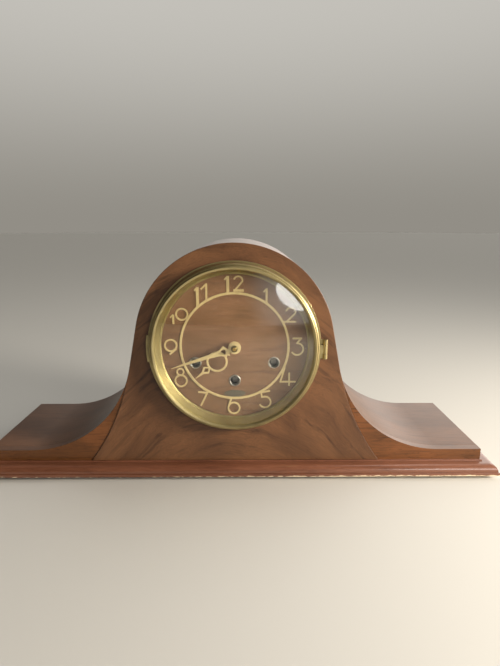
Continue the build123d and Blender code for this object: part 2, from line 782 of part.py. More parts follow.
drum_at = beside(chime_second_at, mesh_distance(drum_gear_module, drum_driver_teeth, drum_gear_teeth), -94)

# Depths of the wheels between the plates.
time_great_y = back_plate_y - 3.8
side_great_y = front_plate_y + 4.0
middle_wheel_y = front_plate_y + 2.3
centre_wheel_y = front_plate_y + 9.0
third_wheel_y = centre_wheel_y + 5.0
fourth_wheel_y = third_wheel_y + 5.0
escape_wheel_y = fourth_wheel_y + 6.0
side_second_y = back_plate_y - end_shake - 1.9
cannon_y = front_plate_y - 4.8
minute_wheel_y = front_plate_y - 4.4
hour_wheel_y = front_plate_y - 9.4
drum_gear_y = back_end + 2.4
square_end_y = dial_back_y + 1.6
drum_start_y = side_great_y + great_thickness

# Tooth angles, each worked out from the wheel that it meshes with.
time_phase = 0.0
middle_pinion_phase = meshed_phase(time_at, great_teeth, time_phase, middle_at, great_pinion)
middle_phase = 0.0
centre_pinion_phase = meshed_phase(middle_at, middle_teeth, middle_phase, hands_at, middle_pinion)
centre_phase = 0.0
third_pinion_phase = meshed_phase(hands_at, centre_teeth, centre_phase, third_at, train_pinion)
fourth_pinion_phase = meshed_phase(third_at, third_teeth, 0.0, fourth_at, train_pinion)
escape_pinion_phase = meshed_phase(fourth_at, fourth_teeth, 0.0, escape_at, train_pinion)
cannon_phase = 0.0
minute_phase = meshed_phase(hands_at, cannon_teeth, cannon_phase, minute_wheel_at, minute_teeth)
hour_phase = meshed_phase(minute_wheel_at, minute_pinion_teeth, 0.0, hands_at, hour_teeth)


def barrel(place, phase, great_y, drum_near, drum_far):
    """A spring barrel: a hollow drum with the great wheel on one end, free on its arbor."""
    bore = disc(0, 0, barrel_arbor_radius + running_gap)
    teeth = toothed(great_teeth, great_module, phase) - bore
    wheel = fitted(place, teeth, great_y, great_y + great_thickness)
    drum = fitted(place, Circle(barrel_radius) - bore, drum_near, drum_far)
    room = fitted(place, Circle(barrel_radius - barrel_wall) - bore,
                  drum_near + barrel_wall, drum_far - barrel_wall)
    return one(wheel + drum - room)


def winding_arbor(place):
    """A barrel arbor with its squared end and the ratchet wheel that sits on the square."""
    x, z = place
    journal = barrel_arbor_radius - 0.6
    shaft = (post(x, z, barrel_arbor_radius, inner_front, inner_back)
             + post(x, z, journal, front_plate_y - 0.2, inner_front)
             + post(x, z, 1.6, inner_back, back_end + 0.2))
    square = Pos(x, z) * Rectangle(winding_square, winding_square)
    shaft = shaft + slab(square, square_end_y, front_plate_y - 0.2)
    points = []
    for i in range(ratchet_teeth):
        start = 360 * i / ratchet_teeth
        points += [polar(x, z, ratchet_radius, start), polar(x, z, ratchet_radius - 1.5, start + 1.5)]
    ratchet = make_face(Polyline(*points, close=True)) - square
    return [one(shaft), one(slab(ratchet, ratchet_y, ratchet_y + 2.2))]


def click_pivot(name, place):
    return beside(place, click_distance, click_angles[name])


def click(name, place):
    """The pawl that stops a ratchet wheel, resting just clear of its teeth."""
    pivot = click_pivot(name, place)
    nose = beside(place, ratchet_radius + 0.3, click_angles[name] + click_reach)
    dx, dz = nose[0] - pivot[0], nose[1] - pivot[1]
    length = math.hypot(dx, dz)
    side = (dz / length * 1.8, -dx / length * 1.8)
    wedge = make_face(Polyline((pivot[0] + side[0], pivot[1] + side[1]), nose,
                               (pivot[0] - side[0], pivot[1] - side[1]), close=True))
    face = wedge + disc(*pivot, 2.4) - disc(*pivot, click_stud_radius + running_gap)
    return one(slab(face, ratchet_y + 0.3, ratchet_y + 1.9))


# ---------------------------------------------------------------- movement frame
pillar_levels = (plate_bottom + pillar_rise, plate_top - pillar_fall)
pillar_points = [(sx * pillar_x, z) for sx in (-1, 1) for z in pillar_levels]
dial_post_points = [(sx * dial_post_x, dial_z + dz) for sx in (-1, 1) for dz in (-dial_post_z, dial_post_z)]
hammer_pivot = (hammer_shaft_x, dial_z - hammer_shaft_drop)


def plate_face():
    return Pos(0, (plate_bottom + plate_top) / 2) * Rectangle(2 * plate_half_width, plate_top - plate_bottom)


plain_pivots = [middle_at, third_at, fourth_at, escape_at, anchor_at,
                strike_second_at, strike_fly_at, chime_second_at, chime_fly_at]


def front_plate():
    """The front plate with its riveted dial posts, click studs and minute wheel stud."""
    face = plate_face()
    for x, z in plain_pivots:
        face -= disc(x, z, pivot_radius + running_gap)
    for x, z in winding_points:
        face -= disc(x, z, barrel_arbor_radius - 0.6 + running_gap)
    face -= disc(*hands_at, centre_arbor_radius + running_gap)
    plate = slab(face, front_plate_y, plate_gap_front)
    for x, z in dial_post_points:
        plate += post(x, z, 2.0, dial_back_y, front_plate_y)
    for name, place in (("time", time_at), ("strike", strike_at), ("chime", chime_at)):
        x, z = click_pivot(name, place)
        plate += post(x, z, click_stud_radius, ratchet_y - 0.6, front_plate_y)
        plate += post(x, z, 2.2, ratchet_y + 2.1, front_plate_y)
    plate += post(*minute_wheel_at, 1.2, hour_wheel_y - 1.2, front_plate_y)
    plate += post(*minute_wheel_at, 2.2, minute_wheel_y + wheel_thickness + 0.4, front_plate_y)
    return one(plate)


def back_plate():
    """The back plate with the cock that the pendulum hangs from."""
    face = plate_face()
    for x, z in plain_pivots:
        if (x, z) not in (chime_second_at, anchor_at):
            face -= disc(x, z, pivot_radius + running_gap)
    face -= disc(*chime_second_at, 1.2 + running_gap)
    face -= disc(*anchor_at, 1.2 + running_gap)
    face -= disc(*drum_at, 1.2 + running_gap)
    face -= disc(*hands_at, pivot_radius + running_gap)
    for x, z in winding_points:
        face -= disc(x, z, 1.6 + running_gap)
    plate = slab(face, back_plate_y, back_end)
    x, z = anchor_at
    for side in (-1, 1):
        plate += bar(min(side * 6, side * 9), max(side * 6, side * 9), back_end, cock_y, z - 2, z + 4)
    plate += bar(-9, 9, cock_y, cock_y + 2.4, z - 2, z + 4)
    plate += post(x, z, 1.2, cock_y + 2.4, pendulum_y + 1.6)
    return one(plate)


def pillars():
    """Four turned pillars between the plates and the nuts behind them."""
    pieces = []
    for x, z in pillar_points:
        pieces.append(turned([(0, plate_gap_front), (3.6, plate_gap_front), (3.6, plate_gap_front + 3),
                              (2.6, plate_gap_front + 4), (2.6, back_plate_y - 4), (3.6, back_plate_y - 3),
                              (3.6, back_plate_y), (0, back_plate_y)], x, z))
        nut = Pos(x, z) * RegularPolygon(3.6, 6)
        pieces.append(slab(nut, back_end, back_end + 2.4))
    return pieces


def strap(side, x0, x1, near, far, rise):
    """One flat stretch of a bracket on the left (-1) or right (1), above the hands' arbor by rise."""
    low, high = sorted((side * x0, side * x1))
    return bar(low, high, near, far, dial_z + rise - 5, dial_z + rise + 5)


def movement_brackets():
    """Four cranked straps that hold the front plate to the back of the front panel."""
    pieces = []
    reach = panel_hole_radius + 4.0
    for side in (-1, 1):
        for rise in bracket_rises:
            piece = strap(side, 50, reach, front_plate_y - 1.6, front_plate_y, rise)
            piece += strap(side, reach - 1.6, reach, front_thickness, front_plate_y - 1.6, rise)
            piece += strap(side, reach - 1.6, reach + 6, front_thickness, front_thickness + 1.6, rise)
            pieces.append(one(piece))
    return pieces


# ---------------------------------------------------------------- trains
def centre_wheel():
    x, z = hands_at
    shaft = (post(x, z, centre_arbor_radius, -7.4, inner_back)
             + post(x, z, pivot_radius, inner_back, back_end + 0.2))
    pinion = fitted(hands_at, toothed(middle_pinion, middle_module, centre_pinion_phase),
                    plate_gap_front + 0.4, middle_wheel_y + wheel_thickness + 0.6)
    wheel = fitted(hands_at, wheel_face(centre_teeth, centre_module, centre_phase, 3.2),
                   centre_wheel_y, centre_wheel_y + wheel_thickness)
    return one(shaft + pinion + wheel)


def cannon_pinion():
    bore = Circle(centre_arbor_radius + running_gap)
    teeth = toothed(cannon_teeth, motion_module, cannon_phase) - bore
    teeth = fitted(hands_at, teeth, cannon_y, cannon_y + 2.0)
    pipe = fitted(hands_at, Circle(cannon_radius) - bore, minute_hand_y - 0.4, cannon_y + 2.0)
    return one(teeth + pipe)


def minute_wheel():
    bore = Circle(1.2 + running_gap)
    wheel = fitted(minute_wheel_at, wheel_face(minute_teeth, motion_module, minute_phase, 4.0) - bore,
                   minute_wheel_y, minute_wheel_y + wheel_thickness)
    pinion = fitted(minute_wheel_at, toothed(minute_pinion_teeth, hour_module, 0.0) - bore,
                    hour_wheel_y - 0.4, minute_wheel_y)
    return one(wheel + pinion)


def hour_wheel():
    bore = Circle(cannon_radius + 0.1)
    wheel = fitted(hands_at, toothed(hour_teeth, hour_module, hour_phase) - bore,
                   hour_wheel_y, hour_wheel_y + wheel_thickness)
    pipe = fitted(hands_at, Circle(hour_pipe_radius) - bore,
                  hour_hand_y - 0.4, hour_wheel_y + wheel_thickness + 1.0)
    return one(wheel + pipe)


def train_arbor(place, radius, pinion, module, pinion_phase, pinion_span, wheel, wheel_y):
    """A shaft with its pinion and, where it has one, its wheel."""
    piece = arbor(place, radius) + fitted(place, toothed(pinion, module, pinion_phase), *pinion_span)
    if wheel is not None:
        piece += fitted(place, wheel, wheel_y, wheel_y + wheel_thickness)
    return one(piece)


def middle_wheel():
    wheel = wheel_face(middle_teeth, middle_module, middle_phase, 4.4)
    return train_arbor(middle_at, 1.2, great_pinion, great_module, middle_pinion_phase,
                       (time_great_y - 0.6, time_great_y + great_thickness + 0.4), wheel, middle_wheel_y)


def third_wheel():
    wheel = wheel_face(third_teeth, third_module, 0.0, 3.0)
    return train_arbor(third_at, 1.0, train_pinion, centre_module, third_pinion_phase,
                       (centre_wheel_y - 1, centre_wheel_y + 2.4), wheel, third_wheel_y)


def fourth_wheel():
    wheel = wheel_face(fourth_teeth, fourth_module, 0.0, 2.6)
    return train_arbor(fourth_at, 0.9, train_pinion, third_module, fourth_pinion_phase,
                       (third_wheel_y - 1, third_wheel_y + 2.4), wheel, fourth_wheel_y)


def escape_wheel():
    """The escape wheel, with slim raked teeth."""
    points = []
    root = escape_radius - 2.2
    tooth = [(escape_radius, 0), (escape_radius, 1.2), (root, 5.0), (root, 10.0)]
    for i in range(escape_teeth):
        start = 360 * i / escape_teeth
        points += [polar(0, 0, radius, start + turn) for radius, turn in tooth]
    face = make_face(Polyline(*points, close=True))
    for i in range(4):
        face -= bow(0, 0, escape_radius - 3.2, escape_radius - 5.6, 90 * i + 18, 90 * i + 72)
    return train_arbor(escape_at, 0.9, train_pinion, fourth_module, escape_pinion_phase,
                       (fourth_wheel_y - 1, fourth_wheel_y + 2.4), face, escape_wheel_y)


def anchor():
    """The anchor on its arbor, with the crutch that guides the pendulum rod."""
    x, z = anchor_at
    drop = anchor_at[1] - escape_at[1]
    pallet = escape_radius + 0.5
    face = disc(0, 0, 2.6)
    for side in (-1, 1):
        tip = (side * pallet * math.sin(math.radians(50)), -drop + pallet * math.cos(math.radians(50)))
        elbow = (side * (abs(tip[0]) + 0.6), -1.2)
        face += stroke((0, 0), elbow, 2.4)
        face += stroke((elbow[0], elbow[1] + 1.0), (tip[0] + side * 0.7, tip[1]), 1.4)
    pallets = fitted(anchor_at, face, escape_wheel_y - 0.8, escape_wheel_y + 2.0)
    crutch_y = back_end + 2.6
    shaft = (post(x, z, 1.1, inner_front, inner_back)
             + post(x, z, pivot_radius, front_plate_y - 0.2, inner_front)
             + post(x, z, 1.2, inner_back, crutch_y + 1.2))
    crutch = bar(-1.4, 1.4, crutch_y, crutch_y + 1.2, z - 32, z)
    foot = bar(-3.6, 3.6, crutch_y, crutch_y + 1.2, z - 33.4, z - 31)
    prongs = [bar(min(s * 2.2, s * 3.6), max(s * 2.2, s * 3.6), crutch_y, pendulum_y + 1.4, z - 33.4, z - 31)
              for s in (-1, 1)]
    return one(pallets + shaft + crutch + foot + prongs[0] + prongs[1])


def pendulum_rod():
    x, z = anchor_at
    eye = slab(hoop(x, z, 3.4, 3.4 - 1.2 - running_gap), pendulum_y - 1.0, pendulum_y + 1.0)
    end = pendulum_length + bob_radius + 6
    rod = Pos(x, pendulum_y, z - 3.0 - (end - 3.0) / 2) * Cylinder(1.0, end - 3.0)
    nut = Pos(x, pendulum_y, z - pendulum_length - bob_radius - 2.4) * Cylinder(3.0, 3.0)
    return one(eye + rod + nut)


def pendulum_bob():
    """A lens-shaped brass bob with a hole down its middle for the rod."""
    x, z = anchor_at
    half = bob_thickness / 2
    side = [(0, -half), (bob_radius * 0.55, -half * 0.82), (bob_radius, -half * 0.12),
            (bob_radius, half * 0.12), (bob_radius * 0.55, half * 0.82), (0, half)]
    lens = turned([(r, pendulum_y + y) for r, y in side], x, z - pendulum_length)
    hole = Pos(x, pendulum_y, z - pendulum_length) * Cylinder(1.0 + running_gap, 3 * bob_radius)
    return one(lens - hole)


def side_second(place, great_place, extra_end):
    """The second wheel of the strike or chime train."""
    phase = meshed_phase(great_place, great_teeth, 0.0, place, great_pinion)
    wheel = wheel_face(centre_teeth, centre_module, 0.0, 3.2)
    piece = train_arbor(place, 1.2, great_pinion, great_module, phase,
                        (side_great_y - 0.6, side_great_y + great_thickness + 0.4), wheel, side_second_y)
    if extra_end:
        piece += post(*place, 1.2, inner_back, drum_gear_y + wheel_thickness + 0.6)
        driver = wheel_face(drum_driver_teeth, drum_gear_module, 0.0, 5.0, spokes=5)
        piece += fitted(place, driver, drum_gear_y, drum_gear_y + wheel_thickness)
    return one(piece)


def fly(place, second_place):
    """The fan that steadies a striking train, on its pinion."""
    phase = meshed_phase(second_place, centre_teeth, 0.0, place, train_pinion)
    piece = train_arbor(place, 0.9, train_pinion, centre_module, phase,
                        (side_second_y - 1.0, side_second_y + wheel_thickness + 0.5), None, 0)
    x, z = place
    blade = bar(x - fly_half_span, x + fly_half_span, inner_front + 14.0, inner_back - 5.6, z - 0.3, z + 0.3)
    return one(piece + blade)


# ---------------------------------------------------------------- chime work
hammer_levels = [back_end + first_hammer + i * hammer_pitch for i in range(hammer_count)]
frame_rear_y = hammer_levels[-1] + frame_margin
frame_front_y = back_end
head_at = (hammer_pivot[0] - head_reach, hammer_pivot[1] - head_fall)
rod_z = head_at[1] - rod_gap
inner_sweep = sweep_radius + skin_thickness
skin_x = sweep_centre_x - math.sqrt(inner_sweep**2 - (sweep_centre - rod_z - rod_radius) ** 2)
longest_rod = block_x + skin_x - rod_end_gap


def chime_drum():
    """The pinned drum that lifts the hammers, with its driving gear."""
    phase = meshed_phase(chime_second_at, drum_driver_teeth, 0.0, drum_at, drum_gear_teeth)
    x, z = drum_at
    gear = fitted(drum_at, wheel_face(drum_gear_teeth, drum_gear_module, phase, 5.0, spokes=5),
                  drum_gear_y, drum_gear_y + wheel_thickness)
    shaft = post(x, z, 1.2, back_plate_y, frame_rear_y + 1.4)
    drum = post(x, z, drum_radius, drum_gear_y + wheel_thickness + 2.0, frame_rear_y - 2.0)
    piece = gear + shaft + drum
    for i, level in enumerate(hammer_levels):
        for k in range(5):
            turn = 72 * k + 18 * i
            outward = Pos(drum_radius + drum_pin_reach / 2 - 0.4, 0, 0) * Rot(0, 90, 0)
            pin = outward * Cylinder(0.6, drum_pin_reach + 0.8)
            piece += Pos(x, level, z) * Rot(0, turn, 0) * pin
    return one(piece)


def hammer_frame():
    """The two cheeks and spacers behind the back plate that carry the drum and the hammers."""
    hx, hz = hammer_pivot
    x, z = drum_at
    low = hz - 8.0
    left, right = hx - 10.0, hx + 10.0
    front_face = make_face(Polyline((x - 18, plate_bottom + 9), (x - 18, plate_bottom - 4), (left, low),
                                    (right, low), (right, hz + 8), (x + 4, plate_bottom + 9), close=True))
    rear_face = make_face(Polyline((x - 14, z + 10), (x - 14, z - 12), (left, low), (right, low),
                                   (right, hz + 8), (left, z + 10), close=True))
    rear_face -= disc(x, z, 1.2 + running_gap)
    front = slab(front_face, frame_front_y, frame_front_y + 1.6)
    rear = slab(rear_face, frame_rear_y, frame_rear_y + 1.6)
    shaft = post(hx, hz, 1.5, frame_front_y, frame_rear_y + 1.6)
    spacer = post(x - 11, plate_bottom + 5, 2.0, frame_front_y, frame_rear_y)
    return one(front + rear + shaft + spacer)


def hammer(level):
    """A hammer: a flat arm on the shaft with a tail for the drum's pins, and its brass head."""
    hx, hz = hammer_pivot
    reach = math.dist(hammer_pivot, drum_at) - drum_radius - drum_pin_reach - 0.7
    toward = math.degrees(math.atan2(drum_at[1] - hz, drum_at[0] - hx))
    tail_tip = beside(hammer_pivot, reach, toward)
    face = (stroke(hammer_pivot, head_at, 3.4) + stroke(hammer_pivot, tail_tip, 2.4)
            + disc(hx, hz, 3.6) - disc(hx, hz, 1.5 + running_gap))
    arm = slab(face, level - 0.7, level + 0.7)
    lean = math.degrees(math.atan2(head_at[1] - hz, head_at[0] - hx)) + 90
    head = Pos(head_at[0], level, head_at[1]) * Rot(0, -lean + 90, 0) * Cylinder(hammer_head_radius, 12.0)
    return one(arm + head)


def chime_rods():
    pieces = []
    for i, level in enumerate(hammer_levels):
        length = longest_rod - i * rod_step
        pieces.append(Pos(block_x - length / 2, level, rod_z) * Rot(0, 90, 0) * Cylinder(rod_radius, length))
    return pieces


def rod_block():
    """The cast block on the base that the chime rods are set in."""
    near, far = hammer_levels[0] - 7, hammer_levels[-1] + 7
    block = bar(block_x, block_x + 22, near, far, base_top, rod_z + 5.5)
    toe = bar(block_x - 8, block_x + 34, near, far, base_top, base_top + 6)
    return one(block + toe)


# ---------------------------------------------------------------- write every node
def main():
    os.makedirs("parts", exist_ok=True)
    wing = one(slab(wing_face(), 0.0, front_thickness))
    write("base_board", base_board())
    write("feet", *feet())
    write("case_skin", case_skin())
    write("front_panel", front_panel())
    write("wing_front_right", wing)
    write("wing_front_left", wing.mirror(Plane.YZ))
    write("wing_end_blocks", *end_blocks())
    write("back_panel", back_panel())
    write("back_door", back_door())
    write("back_door_knob", door_knob())
    write("door_hinge_fixed_leaves", *door_hinge(1))
    write("door_hinge_door_leaves", *door_hinge(-1))
    write("dial", dial())
    write("chapter_ring", chapter_ring())
    write("numerals", *numerals())
    write("winding_hole_eyelets", *winding_eyelets())
    write("dial_plaque", dial_plaque())
    write("bezel_seat_ring", *bezel_seat_ring())
    write("bezel_ring", bezel_ring())
    write("bezel_sight_ring", sight_ring())
    write("bezel_glass", bezel_glass())
    write("minute_hand", minute_hand())
    write("hour_hand", hour_hand())
    write("hand_nut", hand_nut())
    write("front_plate", front_plate())
    write("back_plate", back_plate())
    write("plate_pillars", *pillars())
    write("movement_brackets", *movement_brackets())
    write("time_barrel", barrel(time_at, time_phase, time_great_y, drum_start_y + end_shake, time_great_y))
    write("strike_barrel", barrel(strike_at, 0.0, side_great_y, drum_start_y, time_great_y))
    write("chime_barrel", barrel(chime_at, 0.0, side_great_y, drum_start_y, time_great_y))
    for name, place in (("time", time_at), ("strike", strike_at), ("chime", chime_at)):
        write(f"{name}_winding_arbor", *winding_arbor(place))
        write(f"{name}_click", click(name, place))
    write("centre_wheel", centre_wheel())
    write("cannon_pinion", cannon_pinion())
    write("minute_wheel", minute_wheel())
    write("hour_wheel", hour_wheel())
    write("intermediate_wheel", middle_wheel())
    write("third_wheel", third_wheel())
    write("fourth_wheel", fourth_wheel())
    write("escape_wheel", escape_wheel())
    write("anchor", anchor())
    write("pendulum_rod", pendulum_rod())
    write("pendulum_bob", pendulum_bob())
    write("strike_second_wheel", side_second(strike_second_at, strike_at, False))
    write("strike_fly", fly(strike_fly_at, strike_second_at))
    write("chime_second_wheel", side_second(chime_second_at, chime_at, True))
    write("chime_fly", fly(chime_fly_at, chime_second_at))
    write("chime_drum", chime_drum())
    write("hammer_frame", hammer_frame())
    for i, level in enumerate(hammer_levels):
        write(f"hammer_{i + 1}", hammer(level))
    write("chime_rods", *chime_rods())
    write("rod_block", rod_block())


main()
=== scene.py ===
import json
import math

import bmesh
import bpy
from mathutils import Matrix, Vector, noise

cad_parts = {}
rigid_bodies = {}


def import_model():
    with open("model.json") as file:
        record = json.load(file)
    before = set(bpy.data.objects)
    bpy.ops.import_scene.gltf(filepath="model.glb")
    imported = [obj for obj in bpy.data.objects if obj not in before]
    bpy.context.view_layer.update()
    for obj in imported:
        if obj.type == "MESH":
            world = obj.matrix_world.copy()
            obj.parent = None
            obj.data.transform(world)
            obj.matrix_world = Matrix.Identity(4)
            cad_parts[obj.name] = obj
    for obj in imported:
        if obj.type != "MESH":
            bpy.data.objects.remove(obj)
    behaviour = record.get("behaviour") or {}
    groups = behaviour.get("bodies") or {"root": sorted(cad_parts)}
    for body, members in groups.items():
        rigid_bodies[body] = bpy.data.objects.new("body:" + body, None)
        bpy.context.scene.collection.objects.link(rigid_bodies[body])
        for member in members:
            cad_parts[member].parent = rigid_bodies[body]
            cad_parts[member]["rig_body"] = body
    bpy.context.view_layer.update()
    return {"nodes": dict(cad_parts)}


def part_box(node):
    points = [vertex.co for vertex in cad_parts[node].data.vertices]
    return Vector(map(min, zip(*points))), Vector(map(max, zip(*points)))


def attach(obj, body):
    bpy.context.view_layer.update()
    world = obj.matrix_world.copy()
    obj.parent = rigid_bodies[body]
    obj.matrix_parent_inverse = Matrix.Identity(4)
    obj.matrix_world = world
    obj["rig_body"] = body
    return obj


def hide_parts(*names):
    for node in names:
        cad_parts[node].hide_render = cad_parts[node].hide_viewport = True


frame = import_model()
mm = 0.001


# The base: a moulded plinth of solid mahogany, run on a spindle moulder, stained red-brown and
# lacquered. A square rim, a quarter-round above it and a thin fillet strip under the case. Years
# of dusting have softened its rim and chipped the lacquer off its lowest edge; the pale marks
# there grow toward the lit right end, where they are also painted highlight.
def linear(colour):
    """An sRGB hex colour as the linear values that a socket takes."""
    parts = [int(colour[i:i + 2], 16) / 255 for i in (1, 3, 5)]
    return [*(p / 12.92 if p <= 0.04045 else ((p + 0.055) / 1.055) ** 2.4 for p in parts), 1.0]


def add(tree, kind, inputs=None, **settings):
    """Adds a node with its settings, and feeds its sockets from values or from other sockets."""
    node = tree.nodes.new(kind)
    for name, value in settings.items():
        setattr(node, name, value)
    for key, value in (inputs or {}).items():
        if isinstance(value, bpy.types.NodeSocket):
            tree.links.new(value, node.inputs[key])
        else:
            node.inputs[key].default_value = value
    return node


def new_material(name):
    """A material with an empty node tree, and that tree."""
    made = bpy.data.materials.new(name)
    made.use_nodes = True
    made.node_tree.nodes.clear()
    return made, made.node_tree


def lacquered_wood(name, pale, middle, dark, streak, figure, wander, fibre=0.6, pores=0.5, fall=0.0,
                   source="Object", offset=(0, 0, 0), coat=0.5, coat_roughness=0.2, worn_edge_and_highlight=False):
    """Wood cut with its grain along X, under lacquer. Streak, figure, wander and fibre are in mm.

    Growth streaks and broad patches of figure give the colour, fibres a fine shimmer, and open
    pores short dark dashes. Fall bends the grain down to both sides, as on a crown-cut leaf.
    """
    made, tree = new_material(name)
    spot = add(tree, "ShaderNodeTexCoord").outputs[source]
    spot = add(tree, "ShaderNodeVectorMath", {0: spot, 1: offset}, operation="ADD").outputs[0]
    drift = add(tree, "ShaderNodeTexNoise", {"Vector": spot, "Scale": 1 / (2 * figure * mm), "Detail": 2.0})
    drift = add(tree, "ShaderNodeVectorMath", {0: drift.outputs["Color"], 1: (0.5, 0.5, 0.5)},
                operation="SUBTRACT").outputs[0]
    grain = add(tree, "ShaderNodeVectorMath", {0: drift, 1: [wander * mm] * 3, 2: spot},
                operation="MULTIPLY_ADD").outputs[0]
    if fall:
        apart = add(tree, "ShaderNodeSeparateXYZ", {0: grain})
        square = add(tree, "ShaderNodeMath", {0: apart.outputs["X"], 1: apart.outputs["X"]},
                     operation="MULTIPLY").outputs[0]
        level = add(tree, "ShaderNodeMath", {0: square, 1: fall, 2: apart.outputs["Z"]},
                    operation="MULTIPLY_ADD").outputs[0]
        grain = add(tree, "ShaderNodeCombineXYZ",
                    {0: apart.outputs["X"], 1: apart.outputs["Y"], 2: level}).outputs[0]

    def stretched(along, across, detail, low, high):
        """Noise drawn out along the grain, as 0 below low and 1 above high."""
        sized = add(tree, "ShaderNodeMapping",
                    {"Vector": grain, "Scale": (1 / (along * mm), 1 / (across * mm), 1 / (across * mm))})
        made_noise = add(tree, "ShaderNodeTexNoise",
                         {"Vector": sized.outputs[0], "Scale": 1.0, "Detail": detail, "Roughness": 0.6})
        return add(tree, "ShaderNodeMapRange",
                   {"Value": made_noise.outputs[0], "From Min": low, "From Max": high},
                   interpolation_type="SMOOTHSTEP").outputs[0]

    patches = stretched(2.2 * figure, figure, 3.0, 0.36, 0.64)
    streaks = stretched(18 * streak, streak, 5.0, 0.48, 0.78)
    fibres = stretched(14.0, fibre, 3.0, 0.25, 0.75)
    open_pores = stretched(7.0, 0.9, 2.0, 0.60, 0.72)
    tone = add(tree, "ShaderNodeMix", {0: patches, 6: linear(middle), 7: linear(pale)},
               data_type="RGBA").outputs[2]
    tone = add(tree, "ShaderNodeMix", {0: streaks, 6: tone, 7: linear(dark)}, data_type="RGBA").outputs[2]
    shimmer = add(tree, "ShaderNodeMapRange", {"Value": fibres, "To Min": 0.78, "To Max": 1.12}).outputs[0]
    hollow = add(tree, "ShaderNodeMath", {0: open_pores, 1: -pores, 2: 1.0},
                 operation="MULTIPLY_ADD").outputs[0]
    shade = add(tree, "ShaderNodeMath", {0: shimmer, 1: hollow}, operation="MULTIPLY").outputs[0]
    colour = add(tree, "ShaderNodeVectorMath", {0: tone, "Scale": shade}, operation="SCALE").outputs[0]
    rough = add(tree, "ShaderNodeMapRange", {"Value": fibres, "To Min": 0.36, "To Max": 0.5}).outputs[0]
    height = add(tree, "ShaderNodeMath", {0: open_pores, 1: -1.5, 2: fibres},
                 operation="MULTIPLY_ADD").outputs[0]
    if worn_edge_and_highlight:
        # Bare pale wood where the lacquer has chipped off the lowest edge; the extra pale marks to the
        # right are painted highlight.
        place = add(tree, "ShaderNodeSeparateXYZ", {0: spot})
        chip_length, chip_height = 5 * mm, 2 * mm
        chips = add(tree, "ShaderNodeMapping",
                    {"Vector": spot, "Scale": (1 / chip_length, 1 / chip_height, 1 / chip_height)})
        chips = add(tree, "ShaderNodeTexNoise", {"Vector": chips.outputs[0], "Scale": 1.0, "Detail": 4.0})
        reach = add(tree, "ShaderNodeMapRange", {"Value": place.outputs["Z"], "From Min": 4.5 * mm,
                                                 "From Max": 6.6 * mm, "To Min": 0.0, "To Max": 0.42})
        # Painted highlight: the pale marks grow toward the right end, the side that the lamp lights.
        side = add(tree, "ShaderNodeMapRange", {"Value": place.outputs["X"], "From Min": -80 * mm,
                                                "From Max": 120 * mm, "To Min": 0.16, "To Max": 0.0})
        needed = add(tree, "ShaderNodeMath", {0: reach.outputs[0], 1: side.outputs[0]}, operation="ADD")
        spare = add(tree, "ShaderNodeMath", {0: chips.outputs[0], 1: needed.outputs[0]},
                    operation="SUBTRACT")
        bare = add(tree, "ShaderNodeMapRange", {"Value": spare.outputs[0], "From Min": 0.35,
                                                "From Max": 0.42})
        colour = add(tree, "ShaderNodeMix", {0: bare.outputs[0], 6: colour, 7: linear("#d9c3a3")},
                     data_type="RGBA").outputs[2]
        rough = add(tree, "ShaderNodeMix", {0: bare.outputs[0], 2: rough, 3: 0.8}).outputs[0]
    bump = add(tree, "ShaderNodeBump",
               {"Height": height, "Strength": 0.25, "Distance": 0.04 * mm}).outputs[0]
    shader = add(tree, "ShaderNodeBsdfPrincipled",
                 {"Base Color": colour, "Roughness": rough, "Normal": bump, "Specular IOR Level": 0.15,
                  "Coat Weight": coat, "Coat Roughness": coat_roughness, "Coat IOR": 1.5})
    add(tree, "ShaderNodeOutputMaterial", {0: shader.outputs[0]})
    return made


def fitted(name, bm, *materials):
    """A bmesh as a finished piece, shaded smooth but for its sharp corners."""
    mesh = bpy.data.meshes.new(name)
    bm.to_mesh(mesh)
    bm.free()
    for material in materials:
        mesh.materials.append(material)
    mesh.shade_smooth()
    mesh.set_sharp_from_angle(angle=math.radians(50))
    piece = bpy.data.objects.new(name, mesh)
    bpy.context.scene.collection.objects.link(piece)
    weighted = piece.modifiers.new("flat faces stay flat", "WEIGHTED_NORMAL")
    weighted.keep_sharp = True
    return piece


base_low, base_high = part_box("base_board")
rim_height, rim_step = 3.0, 1.4
ovolo_height, ovolo_radius = 7.2, 6.4
fillet_inset, fillet_height = 12.9, 1.3
# Each level of the moulding: how far in from the front and ends, how far in from the back, how high.
levels = [(0.5, 0.5, 0.0), (0.12, 0.12, 0.15), (0.0, 0.0, 0.6), (0.0, 0.0, rim_height - 0.4),
          (0.12, 0.12, rim_height - 0.1), (0.4, 0.3, rim_height), (rim_step, 0.6, rim_height)]
ovolo_start = rim_height + ovolo_height - ovolo_radius
for step in range(13):
    turned = math.radians(90 * step / 12)
    levels.append((rim_step + ovolo_radius * (1 - math.cos(turned)), 0.6,
                   ovolo_start + ovolo_radius * math.sin(turned)))
ovolo_top = rim_height + ovolo_height
levels += [(fillet_inset, 3.0, ovolo_top), (fillet_inset, 3.0, ovolo_top + fillet_height - 0.3),
           (fillet_inset + 0.3, 3.2, ovolo_top + fillet_height)]

bm = bmesh.new()
bmesh.ops.create_grid(bm, x_segments=1, y_segments=1, size=0.5)
face = bm.faces[:][0]
for count, (inset, back_inset, rise) in enumerate(levels):
    if count:
        grown = bmesh.ops.extrude_face_region(bm, geom=[face])["geom"]
        bm.faces.remove(face)
        face = next(item for item in grown if isinstance(item, bmesh.types.BMFace))
    middle = face.calc_center_median()
    for v in face.verts:
        right, back = v.co.x > middle.x, v.co.y > middle.y
        v.co.x = base_high.x - inset * mm if right else base_low.x + inset * mm
        v.co.y = base_high.y - back_inset * mm if back else base_low.y + inset * mm
        v.co.z = base_low.z + rise * mm
bmesh.ops.holes_fill(bm, edges=bm.edges)
lengthwise = [e for e in bm.edges if abs(e.verts[0].co.x - e.verts[1].co.x) > 0.4]
bmesh.ops.subdivide_edges(bm, edges=lengthwise, cuts=260, use_grid_fill=True)
